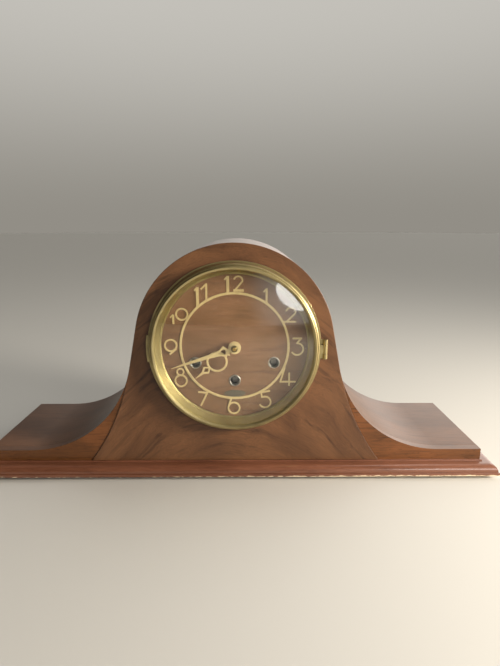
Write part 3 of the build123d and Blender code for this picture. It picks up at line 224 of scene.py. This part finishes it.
# Small knocks along the rim's lowest front edge, a few tenths of a millimetre deep.
for v in bm.verts:
    low, front = v.co.z < base_low.z + 0.7 * mm, v.co.y < base_low.y + 0.7 * mm
    if low and front and abs(v.co.x) < base_high.x - 4 * mm:
        knock = max(0.0, noise.noise(Vector((v.co.x / (7 * mm), 3.1, 0.7))) - 0.28)
        v.co.y += knock * 0.9 * mm
        v.co.z += knock * 0.6 * mm
bmesh.ops.recalc_face_normals(bm, faces=bm.faces)
# Mahogany: red-brown, nearly even in tone, under a thick coat of gloss lacquer that catches the light.
base_lacquer = lacquered_wood("mahogany_stained_gloss_lacquer", "#7a4d38", "#6a412e", "#563324",
                              streak=6.0, figure=60, wander=8, pores=0.2, coat=0.9,
                              coat_roughness=0.14, worn_edge_and_highlight=True)
base = fitted("base_moulding", bm, base_lacquer)
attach(base, "case")
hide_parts("base_board")


# Four round felt pads glued under the base. Wool felt is dull and hairy, and its edge bulges a
# little where the clock's weight has pressed it.
feet_low, feet_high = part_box("feet")
pad_radius, pad_bulge = 9 * mm, 0.4 * mm
# Wool felt: dull green-grey, with hairs that catch a little light at its edge.
felt, tree = new_material("wool_felt_green_grey")
spot = add(tree, "ShaderNodeTexCoord").outputs["Object"]
hairs = add(tree, "ShaderNodeTexNoise", {"Vector": spot, "Scale": 1 / (0.5 * mm), "Detail": 4.0})
tone = add(tree, "ShaderNodeMix", {0: hairs.outputs[0], 6: linear("#2b352b"), 7: linear("#4b5748")},
           data_type="RGBA")
bump = add(tree, "ShaderNodeBump", {"Height": hairs.outputs[0], "Strength": 0.6, "Distance": 0.2 * mm})
shader = add(tree, "ShaderNodeBsdfPrincipled", {"Base Color": tone.outputs[2], "Roughness": 0.95,
                                                "Sheen Weight": 0.4, "Normal": bump.outputs[0]})
add(tree, "ShaderNodeOutputMaterial", {0: shader.outputs[0]})
bm = bmesh.new()
for x in (feet_low.x + pad_radius, feet_high.x - pad_radius):
    for y in (feet_low.y + pad_radius, feet_high.y - pad_radius):
        height = feet_high.z - feet_low.z
        middle = Matrix.Translation((x, y, feet_low.z + height / 2))
        bmesh.ops.create_cone(bm, cap_ends=True, segments=48, radius1=pad_radius - pad_bulge,
                              radius2=pad_radius - pad_bulge, depth=height, matrix=middle)
sides = [e for e in bm.edges if abs(e.verts[0].co.z - e.verts[1].co.z) > mm]
bmesh.ops.subdivide_edges(bm, edges=sides, cuts=5)
for v in bm.verts:
    around = Vector((math.copysign(feet_high.x - pad_radius, v.co.x),
                     feet_low.y + pad_radius if v.co.y < 0 else feet_high.y - pad_radius, v.co.z))
    share = (v.co.z - feet_low.z) / (feet_high.z - feet_low.z)
    bulge = pad_bulge * (1 - (2 * share - 1) ** 2)
    v.co += (v.co - around).normalized() * bulge
feet = fitted("felt_pads", bm, felt)
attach(feet, "case")
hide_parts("feet")


# The case's skin: one sheet of thin plywood bent over the hump and down both sweeps, glued to the
# edges of the front and the back. It is faced with plain veneer and stained brown under satin lacquer.
skin_low, skin_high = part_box("case_skin")
hump_radius, sweep_radius = 95 * mm, 105.3 * mm
side_straight = 43.9 * mm
hump_height = 215.5 * mm
skin_thickness = 4 * mm
wing_top = skin_low.z + skin_thickness
hump_centre = base_high.z + hump_height - hump_radius
sweep_centre = wing_top + sweep_radius
centres_apart = math.hypot(hump_radius + sweep_radius, side_straight)
sweep_x = math.sqrt(centres_apart**2 - (sweep_centre - hump_centre) ** 2)
lean = math.atan2(sweep_centre - hump_centre, sweep_x)
lean += math.acos((hump_radius + sweep_radius) / centres_apart)

bm = bmesh.new()
end = bm.verts.new((skin_high.x, skin_low.y, wing_top))


def run_to(end, x, z):
    """Carries the outline straight on to a point."""
    end = bmesh.ops.extrude_vert_indiv(bm, verts=[end])["verts"][0]
    end.co = (x, end.co.y, z)
    return end


def run_round(end, x, z, angle, steps):
    """Carries the outline round an arc about x, z."""
    made = bmesh.ops.spin(bm, geom=[end], cent=(x, end.co.y, z), axis=(0, 1, 0), angle=angle, steps=steps)
    return made["geom_last"][0]


end = run_to(end, sweep_x, wing_top)
end = run_round(end, sweep_x, sweep_centre, math.pi / 2 - lean, 40)
end = run_to(end, hump_radius * math.cos(lean), hump_centre + hump_radius * math.sin(lean))
end = run_round(end, 0, hump_centre, 2 * lean - math.pi, 96)
end = run_to(end, sweep_radius * math.cos(lean) - sweep_x, sweep_centre - sweep_radius * math.sin(lean))
end = run_round(end, -sweep_x, sweep_centre, math.pi / 2 - lean, 40)
run_to(end, skin_low.x, wing_top)
bm.verts.ensure_lookup_table()
along = bm.verts.layers.float.new("along the sheet")
line = bm.verts[:]
for before, after in zip(line, line[1:]):
    after[along] = before[along] + (after.co - before.co).length
grown = bmesh.ops.extrude_edge_only(bm, edges=bm.edges)["geom"]
bmesh.ops.translate(bm, verts=[item for item in grown if isinstance(item, bmesh.types.BMVert)],
                    vec=(0, skin_high.y - skin_low.y, 0))
sheet_map = bm.loops.layers.uv.new("sheet")
for face in bm.faces:
    for loop in face.loops:
        loop[sheet_map].uv = (loop.vert[along], loop.vert.co.y)
bmesh.ops.recalc_face_normals(bm, faces=bm.faces)
if max(bm.faces, key=lambda f: f.calc_center_median().z).normal.z < 0:
    bmesh.ops.reverse_faces(bm, faces=bm.faces)
# Stained plywood: dull brown, with fine pores along the sheet, under a thin satin lacquer.
skin_colours = ("#6a4a35", "#5a3e2c", "#462e20")
skin_stain = lacquered_wood("bent_plywood_stained_satin", *skin_colours, streak=2.2, figure=50, wander=4,
                            fibre=0.5, pores=0.3, source="UV", coat=0.35, coat_roughness=0.3)
skin = fitted("bent_skin", bm, skin_stain)
wall = skin.modifiers.new("wall", "SOLIDIFY")
wall.thickness = skin_thickness
wall.offset = -1
corner = skin.modifiers.new("eased corners", "BEVEL")
corner.width = 0.4 * mm
corner.segments = 2
corner.limit_method = "ANGLE"
corner.angle_limit = math.radians(50)
skin.modifiers.move(skin.modifiers.find("flat faces stay flat"), 2)
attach(skin, "case")
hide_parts("case_skin")


# The front: a proud panel of walnut veneer on the hump, between two mahogany wings. All three are
# cut to the same outline, and their edges are stained like the skin that they carry. Behind them,
# two solid blocks close the ends of the wings.
def eased(node, ease, segments=2):
    """A CAD piece's shape with its facets joined up and its corners eased, in mm."""
    bm = bmesh.new()
    bm.from_mesh(frame["nodes"][node].data)
    bmesh.ops.remove_doubles(bm, verts=bm.verts, dist=1e-6)
    bmesh.ops.dissolve_limit(bm, angle_limit=math.radians(0.5), verts=bm.verts, edges=bm.edges)
    sharp = [e for e in bm.edges if e.is_manifold and e.calc_face_angle(0.0) > math.radians(30)]
    bmesh.ops.bevel(bm, geom=sharp, offset=ease * mm, offset_type="OFFSET", affect="EDGES",
                    segments=segments, profile=0.5, material=-1, clamp_overlap=True)
    return bm


# Walnut veneer, crown cut: cool brown, with dark growth lines that fall away to both sides.
panel_walnut = lacquered_wood("walnut_veneer_crown_cut", "#704c31", "#5c3d27", "#382419", streak=8.0,
                              figure=40, wander=30, fall=4.6, offset=(0.004, 0, 0.013), pores=0.25,
                              coat=0.45, coat_roughness=0.28)
# Straight-grained mahogany: warmer and more open-pored than the panel.
wing_mahogany = lacquered_wood("mahogany_straight_grained", "#744624", "#5d381a", "#412510", streak=2.6,
                               figure=30, wander=5, pores=0.5, coat=0.45, coat_roughness=0.3)
# The boards' stained edges: the same dull brown as the skin, a little glossier.
edge_stain = lacquered_wood("board_edges_stained_satin", *skin_colours, streak=2.2, figure=50, wander=4,
                            fibre=0.5, pores=0.3, coat=0.5, coat_roughness=0.3)
boards = (("front_panel", "walnut_front", panel_walnut, 0.6),
          ("wing_front_left", "left_wing_front", wing_mahogany, 0.5),
          ("wing_front_right", "right_wing_front", wing_mahogany, 0.5))
for node, name, facing, ease in boards:
    bm = eased(node, ease, 3)
    for face in bm.faces:
        outward = abs(face.normal.y) < 0.5 and face.normal.z > -0.5
        face.material_index = int(outward and face.calc_center_median().z > wing_top - mm)
    board = fitted(name, bm, facing, edge_stain)
    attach(board, "case")
    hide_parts(node)
blocks = fitted("wing_end_blocks_solid", eased("wing_end_blocks", 0.5), edge_stain)
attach(blocks, "case")
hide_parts("wing_end_blocks")


# The back: a plywood panel let into the skin, with an arched door on two brass butt hinges. It is
# stained dark and left nearly matt, and the door's slots let the chime out.
# Dark-stained plywood: coarse streaks and open pores, with hardly any shine.
back_ply = lacquered_wood("plywood_back_dark_stain", "#6b4a33", "#583a28", "#3d271b", streak=4.5, figure=70,
                          wander=14, pores=0.5, coat=0.1, coat_roughness=0.45)
for node, name in (("back_panel", "plywood_back"), ("back_door", "plywood_door")):
    board = fitted(name, eased(node, 0.4), back_ply)
    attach(board, frame["nodes"][node]["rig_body"])
    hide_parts(node)


# The brass fittings of the back: two butt hinges, pressed from sheet and rolled round their pins,
# that carry the door on its panel, and a small turned knob that is screwed into the door.
def aged_brass(name, bright, tarnish, roughness, lines=0.0, centre=(0, 0, 0)):
    """Yellow brass under old lacquer that has let brown tarnish in, which dulls it in soft blooms.

    Lines are the spacing of the marks that spinning leaves round the centre, in mm.
    """
    bloom, grit = 26 * mm, 0.6 * mm
    made, tree = new_material(name)
    spot = add(tree, "ShaderNodeTexCoord").outputs["Object"]
    blooms = add(tree, "ShaderNodeTexNoise", {"Vector": spot, "Scale": 1 / bloom, "Detail": 3.0,
                                              "Roughness": 0.5})
    stained = add(tree, "ShaderNodeMapRange",
                  {"Value": blooms.outputs[0], "From Min": 0.40, "From Max": 0.75},
                  interpolation_type="SMOOTHSTEP")
    colour = add(tree, "ShaderNodeMix", {0: stained.outputs[0], 6: linear(bright), 7: linear(tarnish)},
                 data_type="RGBA")
    height = add(tree, "ShaderNodeTexNoise",
                 {"Vector": spot, "Scale": 1 / grit, "Detail": 3.0}).outputs[0]
    if lines:
        from_axis = add(tree, "ShaderNodeVectorMath", {0: spot, 1: centre}, operation="SUBTRACT")
        flat = add(tree, "ShaderNodeVectorMath", {0: from_axis.outputs[0], 1: (1, 0, 1)},
                   operation="MULTIPLY")
        radius = add(tree, "ShaderNodeVectorMath", {0: flat.outputs[0]}, operation="LENGTH")
        height = add(tree, "ShaderNodeTexNoise", {"W": radius.outputs["Value"], "Scale": 1 / (lines * mm),
                                                  "Detail": 2.0}, noise_dimensions="1D").outputs[0]
    rough = add(tree, "ShaderNodeMapRange", {"Value": stained.outputs[0], "To Min": roughness,
                                             "To Max": roughness + 0.1})
    bare = add(tree, "ShaderNodeMapRange", {"Value": stained.outputs[0], "To Min": 0.95, "To Max": 0.75})
    bump = add(tree, "ShaderNodeBump", {"Height": height, "Strength": 0.05, "Distance": 0.01 * mm})
    shader = add(tree, "ShaderNodeBsdfPrincipled",
                 {"Base Color": colour.outputs[2], "Metallic": bare.outputs[0],
                  "Roughness": rough.outputs[0], "Normal": bump.outputs[0]})
    add(tree, "ShaderNodeOutputMaterial", {0: shader.outputs[0]})
    return made


fitting_brass = aged_brass("brass_fittings_lacquered", "#c8a75c", "#7d6236", 0.34)
for node in ("door_hinge_fixed_leaves", "door_hinge_door_leaves", "back_door_knob"):
    piece = fitted(node + "_brass", eased(node, 0.12), fitting_brass)
    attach(piece, frame["nodes"][node]["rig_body"])
    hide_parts(node)


# The dial: a disc of walnut plywood, its grain level, with a chapter ring, numerals and a blank
# oval applied to it. The metal is pressed brass printed in a matt pale gold.
dial_low, dial_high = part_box("dial")
dial_centre = ((dial_low + dial_high) / 2).z
# Walnut veneer, level grain: quiet, with a thin lacquer that hardly shines behind the glass.
dial_walnut = lacquered_wood("walnut_veneer_level_grain", "#7a5a42", "#6a4e36", "#54392a", streak=5.0,
                             figure=30, wander=7, pores=0.2, coat=0.25, coat_roughness=0.35)
dial = fitted("walnut_dial", eased("dial", 0.2), dial_walnut)
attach(dial, "case")
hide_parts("dial")


def mottled(name, first, second, grain, detail, roughness, metallic=0.0, strength=0.0, relief=0.0):
    """A finish of two close colours in a fine mottle. Grain and relief, the bump's height, are in mm."""
    made, tree = new_material(name)
    spot = add(tree, "ShaderNodeTexCoord").outputs["Object"]
    mottle = add(tree, "ShaderNodeTexNoise", {"Vector": spot, "Scale": 1 / (grain * mm), "Detail": detail})
    tone = add(tree, "ShaderNodeMix", {0: mottle.outputs[0], 6: linear(first), 7: linear(second)},
               data_type="RGBA")
    surface = {"Base Color": tone.outputs[2], "Metallic": metallic, "Roughness": roughness}
    if relief:
        bump = add(tree, "ShaderNodeBump",
                   {"Height": mottle.outputs[0], "Strength": strength, "Distance": relief * mm})
        surface["Normal"] = bump.outputs[0]
    shader = add(tree, "ShaderNodeBsdfPrincipled", surface)
    add(tree, "ShaderNodeOutputMaterial", {0: shader.outputs[0]})
    return made


# Pale gold print on brass: soft and slightly rubbed, so it glows without a sharp shine.
matt_gold = mottled("pressed_brass_matt_gold_print", "#ac9768", "#cdb98a", 3, 5.0, 0.42, metallic=0.35,
                    strength=0.15, relief=0.03)
for node, name in (("chapter_ring", "gold_chapter_ring"), ("numerals", "gold_numerals")):
    piece = fitted(name, eased(node, 0.18), matt_gold)
    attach(piece, "case")
    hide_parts(node)

# Stoved enamel: a worn black, dulled to olive-brown by dust.
enamel = mottled("black_enamelled_oval", "#3a352b", "#575042", 1.5, 4.0, 0.35)
oval = fitted("blank_oval", eased("dial_plaque", 0.12), enamel)
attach(oval, "case")
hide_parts("dial_plaque")


# The three winding holes are bushed with steel eyelets, rolled over on the dial's face so that the
# key doesn't mark the veneer. The steel has greyed and blackened with age.
wing_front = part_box("wing_front_left")[0].y


def profile(corners, steps=5):
    """A closed outline of (radius, depth, ease) corners as points, each corner cut by a small curve."""
    points = []
    for i, (radius, depth, ease) in enumerate(corners):
        here = Vector((radius, depth))
        before = Vector(corners[i - 1][:2])
        after = Vector(corners[(i + 1) % len(corners)][:2])
        first = here + (before - here).normalized() * ease
        last = here + (after - here).normalized() * ease
        for k in range(steps + 1 if ease else 1):
            t = k / steps
            points.append(first * (1 - t) ** 2 + here * 2 * t * (1 - t) + last * t**2)
    return points


def turn(bm, points, x, z, steps):
    """Turns an outline of (radius, depth) points about a line along Y. Depths are from the wings' front."""
    ring = [bm.verts.new((x + p[0] * mm, wing_front + p[1] * mm, z)) for p in points]
    wire = [bm.edges.new(pair) for pair in zip(ring, ring[1:] + ring[:1])]
    bmesh.ops.spin(bm, geom=ring + wire, cent=(x, 0, z), axis=(0, 1, 0), angle=math.tau, steps=steps,
                   use_merge=True)
    bmesh.ops.remove_doubles(bm, verts=bm.verts, dist=1e-7)
    bmesh.ops.recalc_face_normals(bm, faces=bm.faces)


# The holes' places, right of and below the dial's centre.
winding_holes = ((0, 34.0), (-38.0, 16.0), (38.0, 16.0))
# Bare steel: a grey ring, patchy where it is worn bright and where it is dull.
steel_black = mottled("steel_eyelet_blackened", "#77746e", "#c2beb6", 1.2, 5.0, 0.3, metallic=1.0)
bm = bmesh.new()
for x, drop in winding_holes:
    rolled = profile([(4.3, 8.0, 0), (4.3, 3.7, 0.5), (5.3, 3.4, 0.5), (5.95, 4.0, 0.2), (4.75, 4.0, 0),
                      (4.75, 8.0, 0)])
    turn(bm, rolled, x * mm, dial_centre - drop * mm, 64)
eyelets = fitted("winding_eyelets_rolled", bm, steel_black)
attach(eyelets, "case")
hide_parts("winding_hole_eyelets")


# The hands: pierced from brass sheet, with a ring and diamond each, and a domed nut that holds
# the minute hand on the centre arbor. Their edges are rounded by tumbling.
for node, name in (("hour_hand", "gold_hour_hand"), ("minute_hand", "gold_minute_hand")):
    piece = fitted(name, eased(node, 0.2, 3), matt_gold)
    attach(piece, frame["nodes"][node]["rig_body"])
    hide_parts(node)
# The nut's brass: darker and browner than the hands.
nut_brass = aged_brass("brass_hand_nut_dark_brown", "#75663f", "#4d442c", 0.35)
bm = bmesh.new()
dome = profile([(1.55, -4.5, 0), (3.3, -4.5, 0.15), (3.3, -5.6, 0.5), (2.3, -6.55, 0.4), (1.55, -6.6, 0)])
turn(bm, dome, 0, dial_centre, 48)
nut = fitted("domed_hand_nut", bm, nut_brass)
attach(nut, "centre_arbor")
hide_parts("hand_nut")


# The bezel: a door spun from sheet brass. Its rolled rim has an outer bead, a groove and an inner
# bead, and a knuckle on the right. A second piece, a spun cone, runs from the glass in to the dial.
on_axis = (0, 0, dial_centre)
# Spun brass: fine rings from turning, olive where it has tarnished, and duller on the cone.
rim_brass = aged_brass("brass_bezel_spun_aged", "#b3a376", "#857955", 0.32, 0.5, on_axis)
bezel_steps = 224
cone_brass = aged_brass("brass_cone_spun_bright", "#a79968", "#8b7e54", 0.38, 0.4, on_axis)
bm = bmesh.new()
turn(bm, profile([(77.3, -2.1, 0), (81.2, -2.1, 0.15), (81.2, -4.1, 0.5), (80.5, -5.2, 0.4),
                  (80.9, -6.6, 0.5), (80.4, -9.2, 1.0), (79.0, -9.9, 0.4), (78.7, -9.5, 0.15),
                  (78.4, -9.7, 0.15), (78.1, -11.3, 0.6), (77.2, -11.5, 0.4), (75.4, -10.8, 0.2),
                  (75.4, -10.3, 0.1), (77.3, -10.3, 0)]),
     0, dial_centre, bezel_steps)
# The hinge's middle knuckle, rolled from a strip whose arm is soldered to the rim.
hinge_x, hinge_y, hinge_z = 86.6 * mm, wing_front - 3.0 * mm, dial_centre - 1 * mm
knuckle_radius, knuckle_length = 2.2 * mm, 8.8 * mm
arm_start, arm_thickness, arm_forward = 80.4 * mm, 1.2 * mm, 0.4 * mm
knuckle = bmesh.ops.create_cone(bm, cap_ends=True, segments=40, radius1=knuckle_radius,
                                radius2=knuckle_radius, depth=knuckle_length,
                                matrix=Matrix.Translation((hinge_x, hinge_y, hinge_z)))
arm_size = Matrix.Diagonal((hinge_x - arm_start, arm_thickness, knuckle_length, 1))
arm_place = Matrix.Translation(((hinge_x + arm_start) / 2, hinge_y - arm_forward, hinge_z))
arm = bmesh.ops.create_cube(bm, size=1, matrix=arm_place @ arm_size)
added = {e for v in knuckle["verts"] + arm["verts"] for e in v.link_edges}
bmesh.ops.bevel(bm, geom=[e for e in added if e.calc_face_angle(0.0) > 1.2], offset=0.25 * mm,
                affect="EDGES", segments=2, profile=0.5, material=-1, clamp_overlap=True)
# The lifting tab opposite the hinge: a short lug pressed out of the rim's back edge.
tab_arc, tab_inner, tab_outer = math.radians(18), 80.4 * mm, 84.0 * mm
tab_back, tab_front = wing_front - 2.2 * mm, wing_front - 3.3 * mm
across, down = math.cos(tab_arc / 2), math.sin(tab_arc / 2)
tab = [bm.verts.new((-r * across, y, dial_centre - r * down))
       for r, y in ((tab_inner, tab_back), (tab_outer, tab_back),
                    (tab_outer, tab_front), (tab_inner, tab_front))]
tab_face = bm.faces.new(tab)
bmesh.ops.spin(bm, geom=[tab_face, *tab_face.edges, *tab], cent=on_axis, axis=(0, 1, 0), angle=tab_arc,
               steps=16)
bmesh.ops.recalc_face_normals(bm, faces=bm.faces)
rim = fitted("spun_bezel_rim", bm, rim_brass)
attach(rim, "bezel_door")
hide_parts("bezel_ring")

bm = bmesh.new()
turn(bm, profile([(77.0, -7.45, 0), (75.4, -7.45, 0.4), (71.3, 0.9, 0.3), (70.7, 0.7, 0.25),
                  (70.0, 1.3, 0.5), (70.0, 2.9, 0.3), (70.9, 2.9, 0.2), (72.0, 1.2, 0.3),
                  (76.1, -6.8, 0.3), (77.0, -6.85, 0)]),
     0, dial_centre, bezel_steps)
cone = fitted("spun_sight_cone", bm, cone_brass)
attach(cone, "bezel_door")
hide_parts("bezel_sight_ring")

seat = fitted("bezel_seat_with_knuckles", eased("bezel_seat_ring", 0.15), rim_brass)
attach(seat, "case")
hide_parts("bezel_seat_ring")


# The glass: a shallow dome of clear sheet glass, slumped over a form and ground flat at its edge.
# It is sprung in behind the bezel's lip. Faint smears of old polish roughen it.
glass_low, glass_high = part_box("bezel_glass")
glass_radius = (glass_high.x - glass_low.x) / 2 / mm
glass_rise, glass_wall = 12.0, 2.0
ball = (glass_radius**2 + glass_rise**2) / (2 * glass_rise)
apex = (glass_low.y - wing_front) / mm
inner_ball = ball - glass_wall
dome_steps = 40
outline = []
for step in range(dome_steps + 1):
    tilt = math.asin(glass_radius / ball) * step / dome_steps
    outline.append((ball * math.sin(tilt), apex + ball - ball * math.cos(tilt)))
flat = outline[-1][1] + glass_wall
inner_edge = math.sqrt(inner_ball**2 - (apex + ball - flat) ** 2)
outline.append((glass_radius, flat))
for step in range(dome_steps + 1):
    tilt = math.asin(inner_edge / inner_ball) * (1 - step / dome_steps)
    outline.append((inner_ball * math.sin(tilt), apex + ball - inner_ball * math.cos(tilt)))
bm = bmesh.new()
ring = [bm.verts.new((r * mm, wing_front + y * mm, dial_centre)) for r, y in outline]
wire = [bm.edges.new(pair) for pair in zip(ring, ring[1:])]
bmesh.ops.spin(bm, geom=ring + wire, cent=on_axis, axis=(0, 1, 0), angle=math.tau, steps=192,
               use_merge=True)
bmesh.ops.remove_doubles(bm, verts=bm.verts, dist=1e-7)
bmesh.ops.recalc_face_normals(bm, faces=bm.faces)
# Clear sheet glass: bright reflections, slightly hazed in patches. Lamps shine through it unbent,
# because a path traced through two curved faces seldom finds a small lamp.
crystal, tree = new_material("sheet_glass_clear")
spot = add(tree, "ShaderNodeTexCoord").outputs["Object"]
smears = add(tree, "ShaderNodeTexNoise",
             {"Vector": spot, "Scale": 1 / (18 * mm), "Detail": 5.0, "Roughness": 0.6})
rough = add(tree, "ShaderNodeMapRange", {"Value": smears.outputs[0], "From Min": 0.4, "From Max": 0.75,
                                         "To Min": 0.03, "To Max": 0.1})
clear = add(tree, "ShaderNodeBsdfPrincipled",
            {"Base Color": linear("#fbfcfa"), "Roughness": rough.outputs[0], "IOR": 1.5,
             "Transmission Weight": 1.0})
open_way = add(tree, "ShaderNodeBsdfTransparent", {"Color": linear("#f4f5f2")})
is_shadow = add(tree, "ShaderNodeLightPath").outputs["Is Shadow Ray"]
both = add(tree, "ShaderNodeMixShader", {0: is_shadow, 1: clear.outputs[0], 2: open_way.outputs[0]})
add(tree, "ShaderNodeOutputMaterial", {0: both.outputs[0]})
glass = fitted("domed_glass", bm, crystal)
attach(glass, "bezel_door")
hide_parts("bezel_glass")


# The movement behind the dial: plates, wheels and barrels stamped and cut from engraver's brass,
# arbors, hammers and rods of steel. The brass is brushed along its sheet, the steel ground bright.
# Engraver's brass: warm yellow, its shine drawn out along the brush marks.
movement_brass, tree = new_material("engraved_brass_brushed")
spot = add(tree, "ShaderNodeTexCoord").outputs["Object"]
brushed = add(tree, "ShaderNodeMapping",
              {"Vector": spot, "Scale": (1 / (9 * mm), 1 / (0.6 * mm), 1 / (0.35 * mm))})
strokes = add(tree, "ShaderNodeTexNoise", {"Vector": brushed.outputs[0], "Scale": 1.0, "Detail": 3.0})
blooms = add(tree, "ShaderNodeTexNoise", {"Vector": spot, "Scale": 1 / (14 * mm), "Detail": 5.0})
tone = add(tree, "ShaderNodeMix", {0: blooms.outputs[0], 6: linear("#c9a556"), 7: linear("#a5834a")},
           data_type="RGBA")
rough = add(tree, "ShaderNodeMapRange", {"Value": strokes.outputs[0], "To Min": 0.24, "To Max": 0.46})
bump = add(tree, "ShaderNodeBump", {"Height": strokes.outputs[0], "Strength": 0.15, "Distance": 0.02 * mm})
shader = add(tree, "ShaderNodeBsdfPrincipled", {"Base Color": tone.outputs[2], "Metallic": 1.0,
                                                "Roughness": rough.outputs[0], "Normal": bump.outputs[0]})
add(tree, "ShaderNodeOutputMaterial", {0: shader.outputs[0]})

# Ground carbon steel: dark grey, with a shine that varies from patch to patch.
movement_steel, tree = new_material("carbon_steel_ground")
spot = add(tree, "ShaderNodeTexCoord").outputs["Object"]
ground = add(tree, "ShaderNodeTexNoise", {"Vector": spot, "Scale": 1 / (0.7 * mm), "Detail": 4.0})
tone = add(tree, "ShaderNodeMix", {0: ground.outputs[0], 6: linear("#454441"), 7: linear("#63615c")},
           data_type="RGBA")
rough = add(tree, "ShaderNodeMapRange", {"Value": ground.outputs[0], "To Min": 0.22, "To Max": 0.42})
shader = add(tree, "ShaderNodeBsdfPrincipled", {"Base Color": tone.outputs[2], "Metallic": 1.0,
                                                "Roughness": rough.outputs[0]})
add(tree, "ShaderNodeOutputMaterial", {0: shader.outputs[0]})

# The same steel on the front of each winding square, paler and more even: the key's rubbing, and a painted
# glint.
key_polish_and_glint_steel = mottled("carbon_steel_key_polished_painted_glint", "#5b5956", "#85837e", 0.5, 3.0, 0.3, metallic=1.0)
# Painted cast iron: grey, with the grain of the sand mould still showing through.
cast_iron = mottled("cast_iron_painted_grey", "#4a4b4d", "#66676a", 0.8, 4.0, 0.55,
                    strength=0.5, relief=0.15)

finishes = {"movement_brass": movement_brass, "movement_steel": movement_steel, "cast_block": cast_iron}
for node, cad_piece in sorted(frame["nodes"].items()):
    slot = cad_piece.data.materials[0].name
    if slot in finishes:
        bm = eased(node, 0.08)
        # The front of each winding square gets the paler steel: the key's polish, and a painted glint.
        if node.endswith("winding_arbor"):
            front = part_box(node)[0].y
            for face in bm.faces:
                face.material_index = int(face.calc_center_median().y < front + 0.3 * mm)
        piece = fitted(node + "_finished", bm, finishes[slot], key_polish_and_glint_steel)
        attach(piece, cad_piece["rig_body"])
        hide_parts(node)


# The stage: a plain pale floor, a pale room and soft studio lights. The strongest lamp grazes the
# front from the right, a weaker oval one shines in the glass, and one hangs above and behind.
bm = bmesh.new()
bmesh.ops.create_circle(bm, cap_ends=True, segments=96, radius=14)
# Matt paper: pale, even and without shine.
paper, tree = new_material("matt_paper_sweep")
shader = add(tree, "ShaderNodeBsdfPrincipled", {"Base Color": linear("#c2bfb9"), "Roughness": 0.95,
                                                "Specular IOR Level": 0.1})
add(tree, "ShaderNodeOutputMaterial", {0: shader.outputs[0]})
floor = fitted("floor", bm, paper)

world = bpy.data.worlds.new("pale_room")
bpy.context.scene.world = world
world.use_nodes = True
tree = world.node_tree
tree.nodes.clear()
# What the camera sees: a wall that meets the floor's far tone and pales upward.
direction = add(tree, "ShaderNodeTexCoord").outputs["Generated"]
toward = add(tree, "ShaderNodeSeparateXYZ", {0: direction})
above = add(tree, "ShaderNodeMapRange", {"Value": toward.outputs["Z"], "From Min": 0.0, "From Max": 0.4},
            interpolation_type="SMOOTHSTEP")
backdrop = add(tree, "ShaderNodeMix", {0: above.outputs[0], 6: linear("#928e86"), 7: linear("#c4c1ba")},
               data_type="RGBA")
seen = add(tree, "ShaderNodeBackground", {"Color": backdrop.outputs[2], "Strength": 1.0})
# What lights the clock: a pale room, brightest behind it and to its right.
depth = add(tree, "ShaderNodeMapRange", {"Value": toward.outputs["Y"], "From Min": -0.3, "To Min": 0.04,
                                         "To Max": 1.9})
side = add(tree, "ShaderNodeMapRange", {"Value": toward.outputs["X"], "From Min": -0.6, "From Max": 0.6,
                                        "To Min": 0.04, "To Max": 1.5}, interpolation_type="SMOOTHSTEP")
room = add(tree, "ShaderNodeMath", {0: depth.outputs[0], 1: side.outputs[0]}, operation="MULTIPLY")
# A broad soft window to the right in front, which hazes that side of the glass.
window_way, window_edge = Vector((0.58, -0.78, 0.24)).normalized(), math.radians(32)
near_window = add(tree, "ShaderNodeVectorMath", {0: direction, 1: window_way}, operation="DOT_PRODUCT")
window = add(tree, "ShaderNodeMapRange",
             {"Value": near_window.outputs["Value"], "From Min": math.cos(window_edge), "From Max": 1.0,
              "To Max": 1.7}, interpolation_type="SMOOTHSTEP")
strength = add(tree, "ShaderNodeMath", {0: room.outputs[0], 1: window.outputs[0]}, operation="ADD")
lighting = add(tree, "ShaderNodeBackground", {"Color": linear("#f4f1ea"), "Strength": strength.outputs[0]})
by_camera = add(tree, "ShaderNodeLightPath").outputs["Is Camera Ray"]
mixed = add(tree, "ShaderNodeMixShader", {0: by_camera, 1: lighting.outputs[0], 2: seen.outputs[0]})
add(tree, "ShaderNodeOutputWorld", {0: mixed.outputs[0]})


def soft_lamp(name, place, aim, width, height, power, colour, roll=0):
    """An oval studio light at a place, turned to face a point and then rolled by some degrees."""
    lamp = bpy.data.lights.new(name, "AREA")
    lamp.shape = "ELLIPSE"
    lamp.size, lamp.size_y = width, height
    lamp.energy = power
    lamp.color = linear(colour)[:3]
    holder = bpy.data.objects.new(name, lamp)
    bpy.context.scene.collection.objects.link(holder)
    holder.location = place
    facing = (Vector(aim) - Vector(place)).to_track_quat("-Z", "Y").to_matrix()
    holder.rotation_euler = (facing @ Matrix.Rotation(math.radians(roll), 3, "Z")).to_euler()


soft_lamp("graze_right", (0.90, -0.42, 0.38), (0.0, -0.05, 0.13), 0.30, 0.30, 19.0, "#fff6e8")
soft_lamp("key_front_right", (0.78, -1.25, 0.54), (0.0, -0.05, 0.12), 0.56, 0.36, 3.8, "#fffdf8", roll=-40)
soft_lamp("overhead", (0.25, 0.35, 1.30), (0.0, 0.0, 0.0), 1.0, 0.7, 2.5, "#ffffff")


# The camera: at arm's length, just above the crown and a little right of the middle, tipped down
# towards the base. Its lens is a short one, so the wings' tops show.
camera_data = bpy.data.cameras.new("camera")
camera_data.sensor_width = 36
camera_data.lens = 26.387
camera = bpy.data.objects.new("camera", camera_data)
bpy.context.scene.collection.objects.link(camera)
camera.location = (0.01157, wing_front - 0.45273, 0.24773)
camera.rotation_euler = (math.radians(90 - 12.63), 0, math.radians(-0.41))
bpy.context.scene.camera = camera
bpy.context.scene.view_settings.view_transform = "Standard"
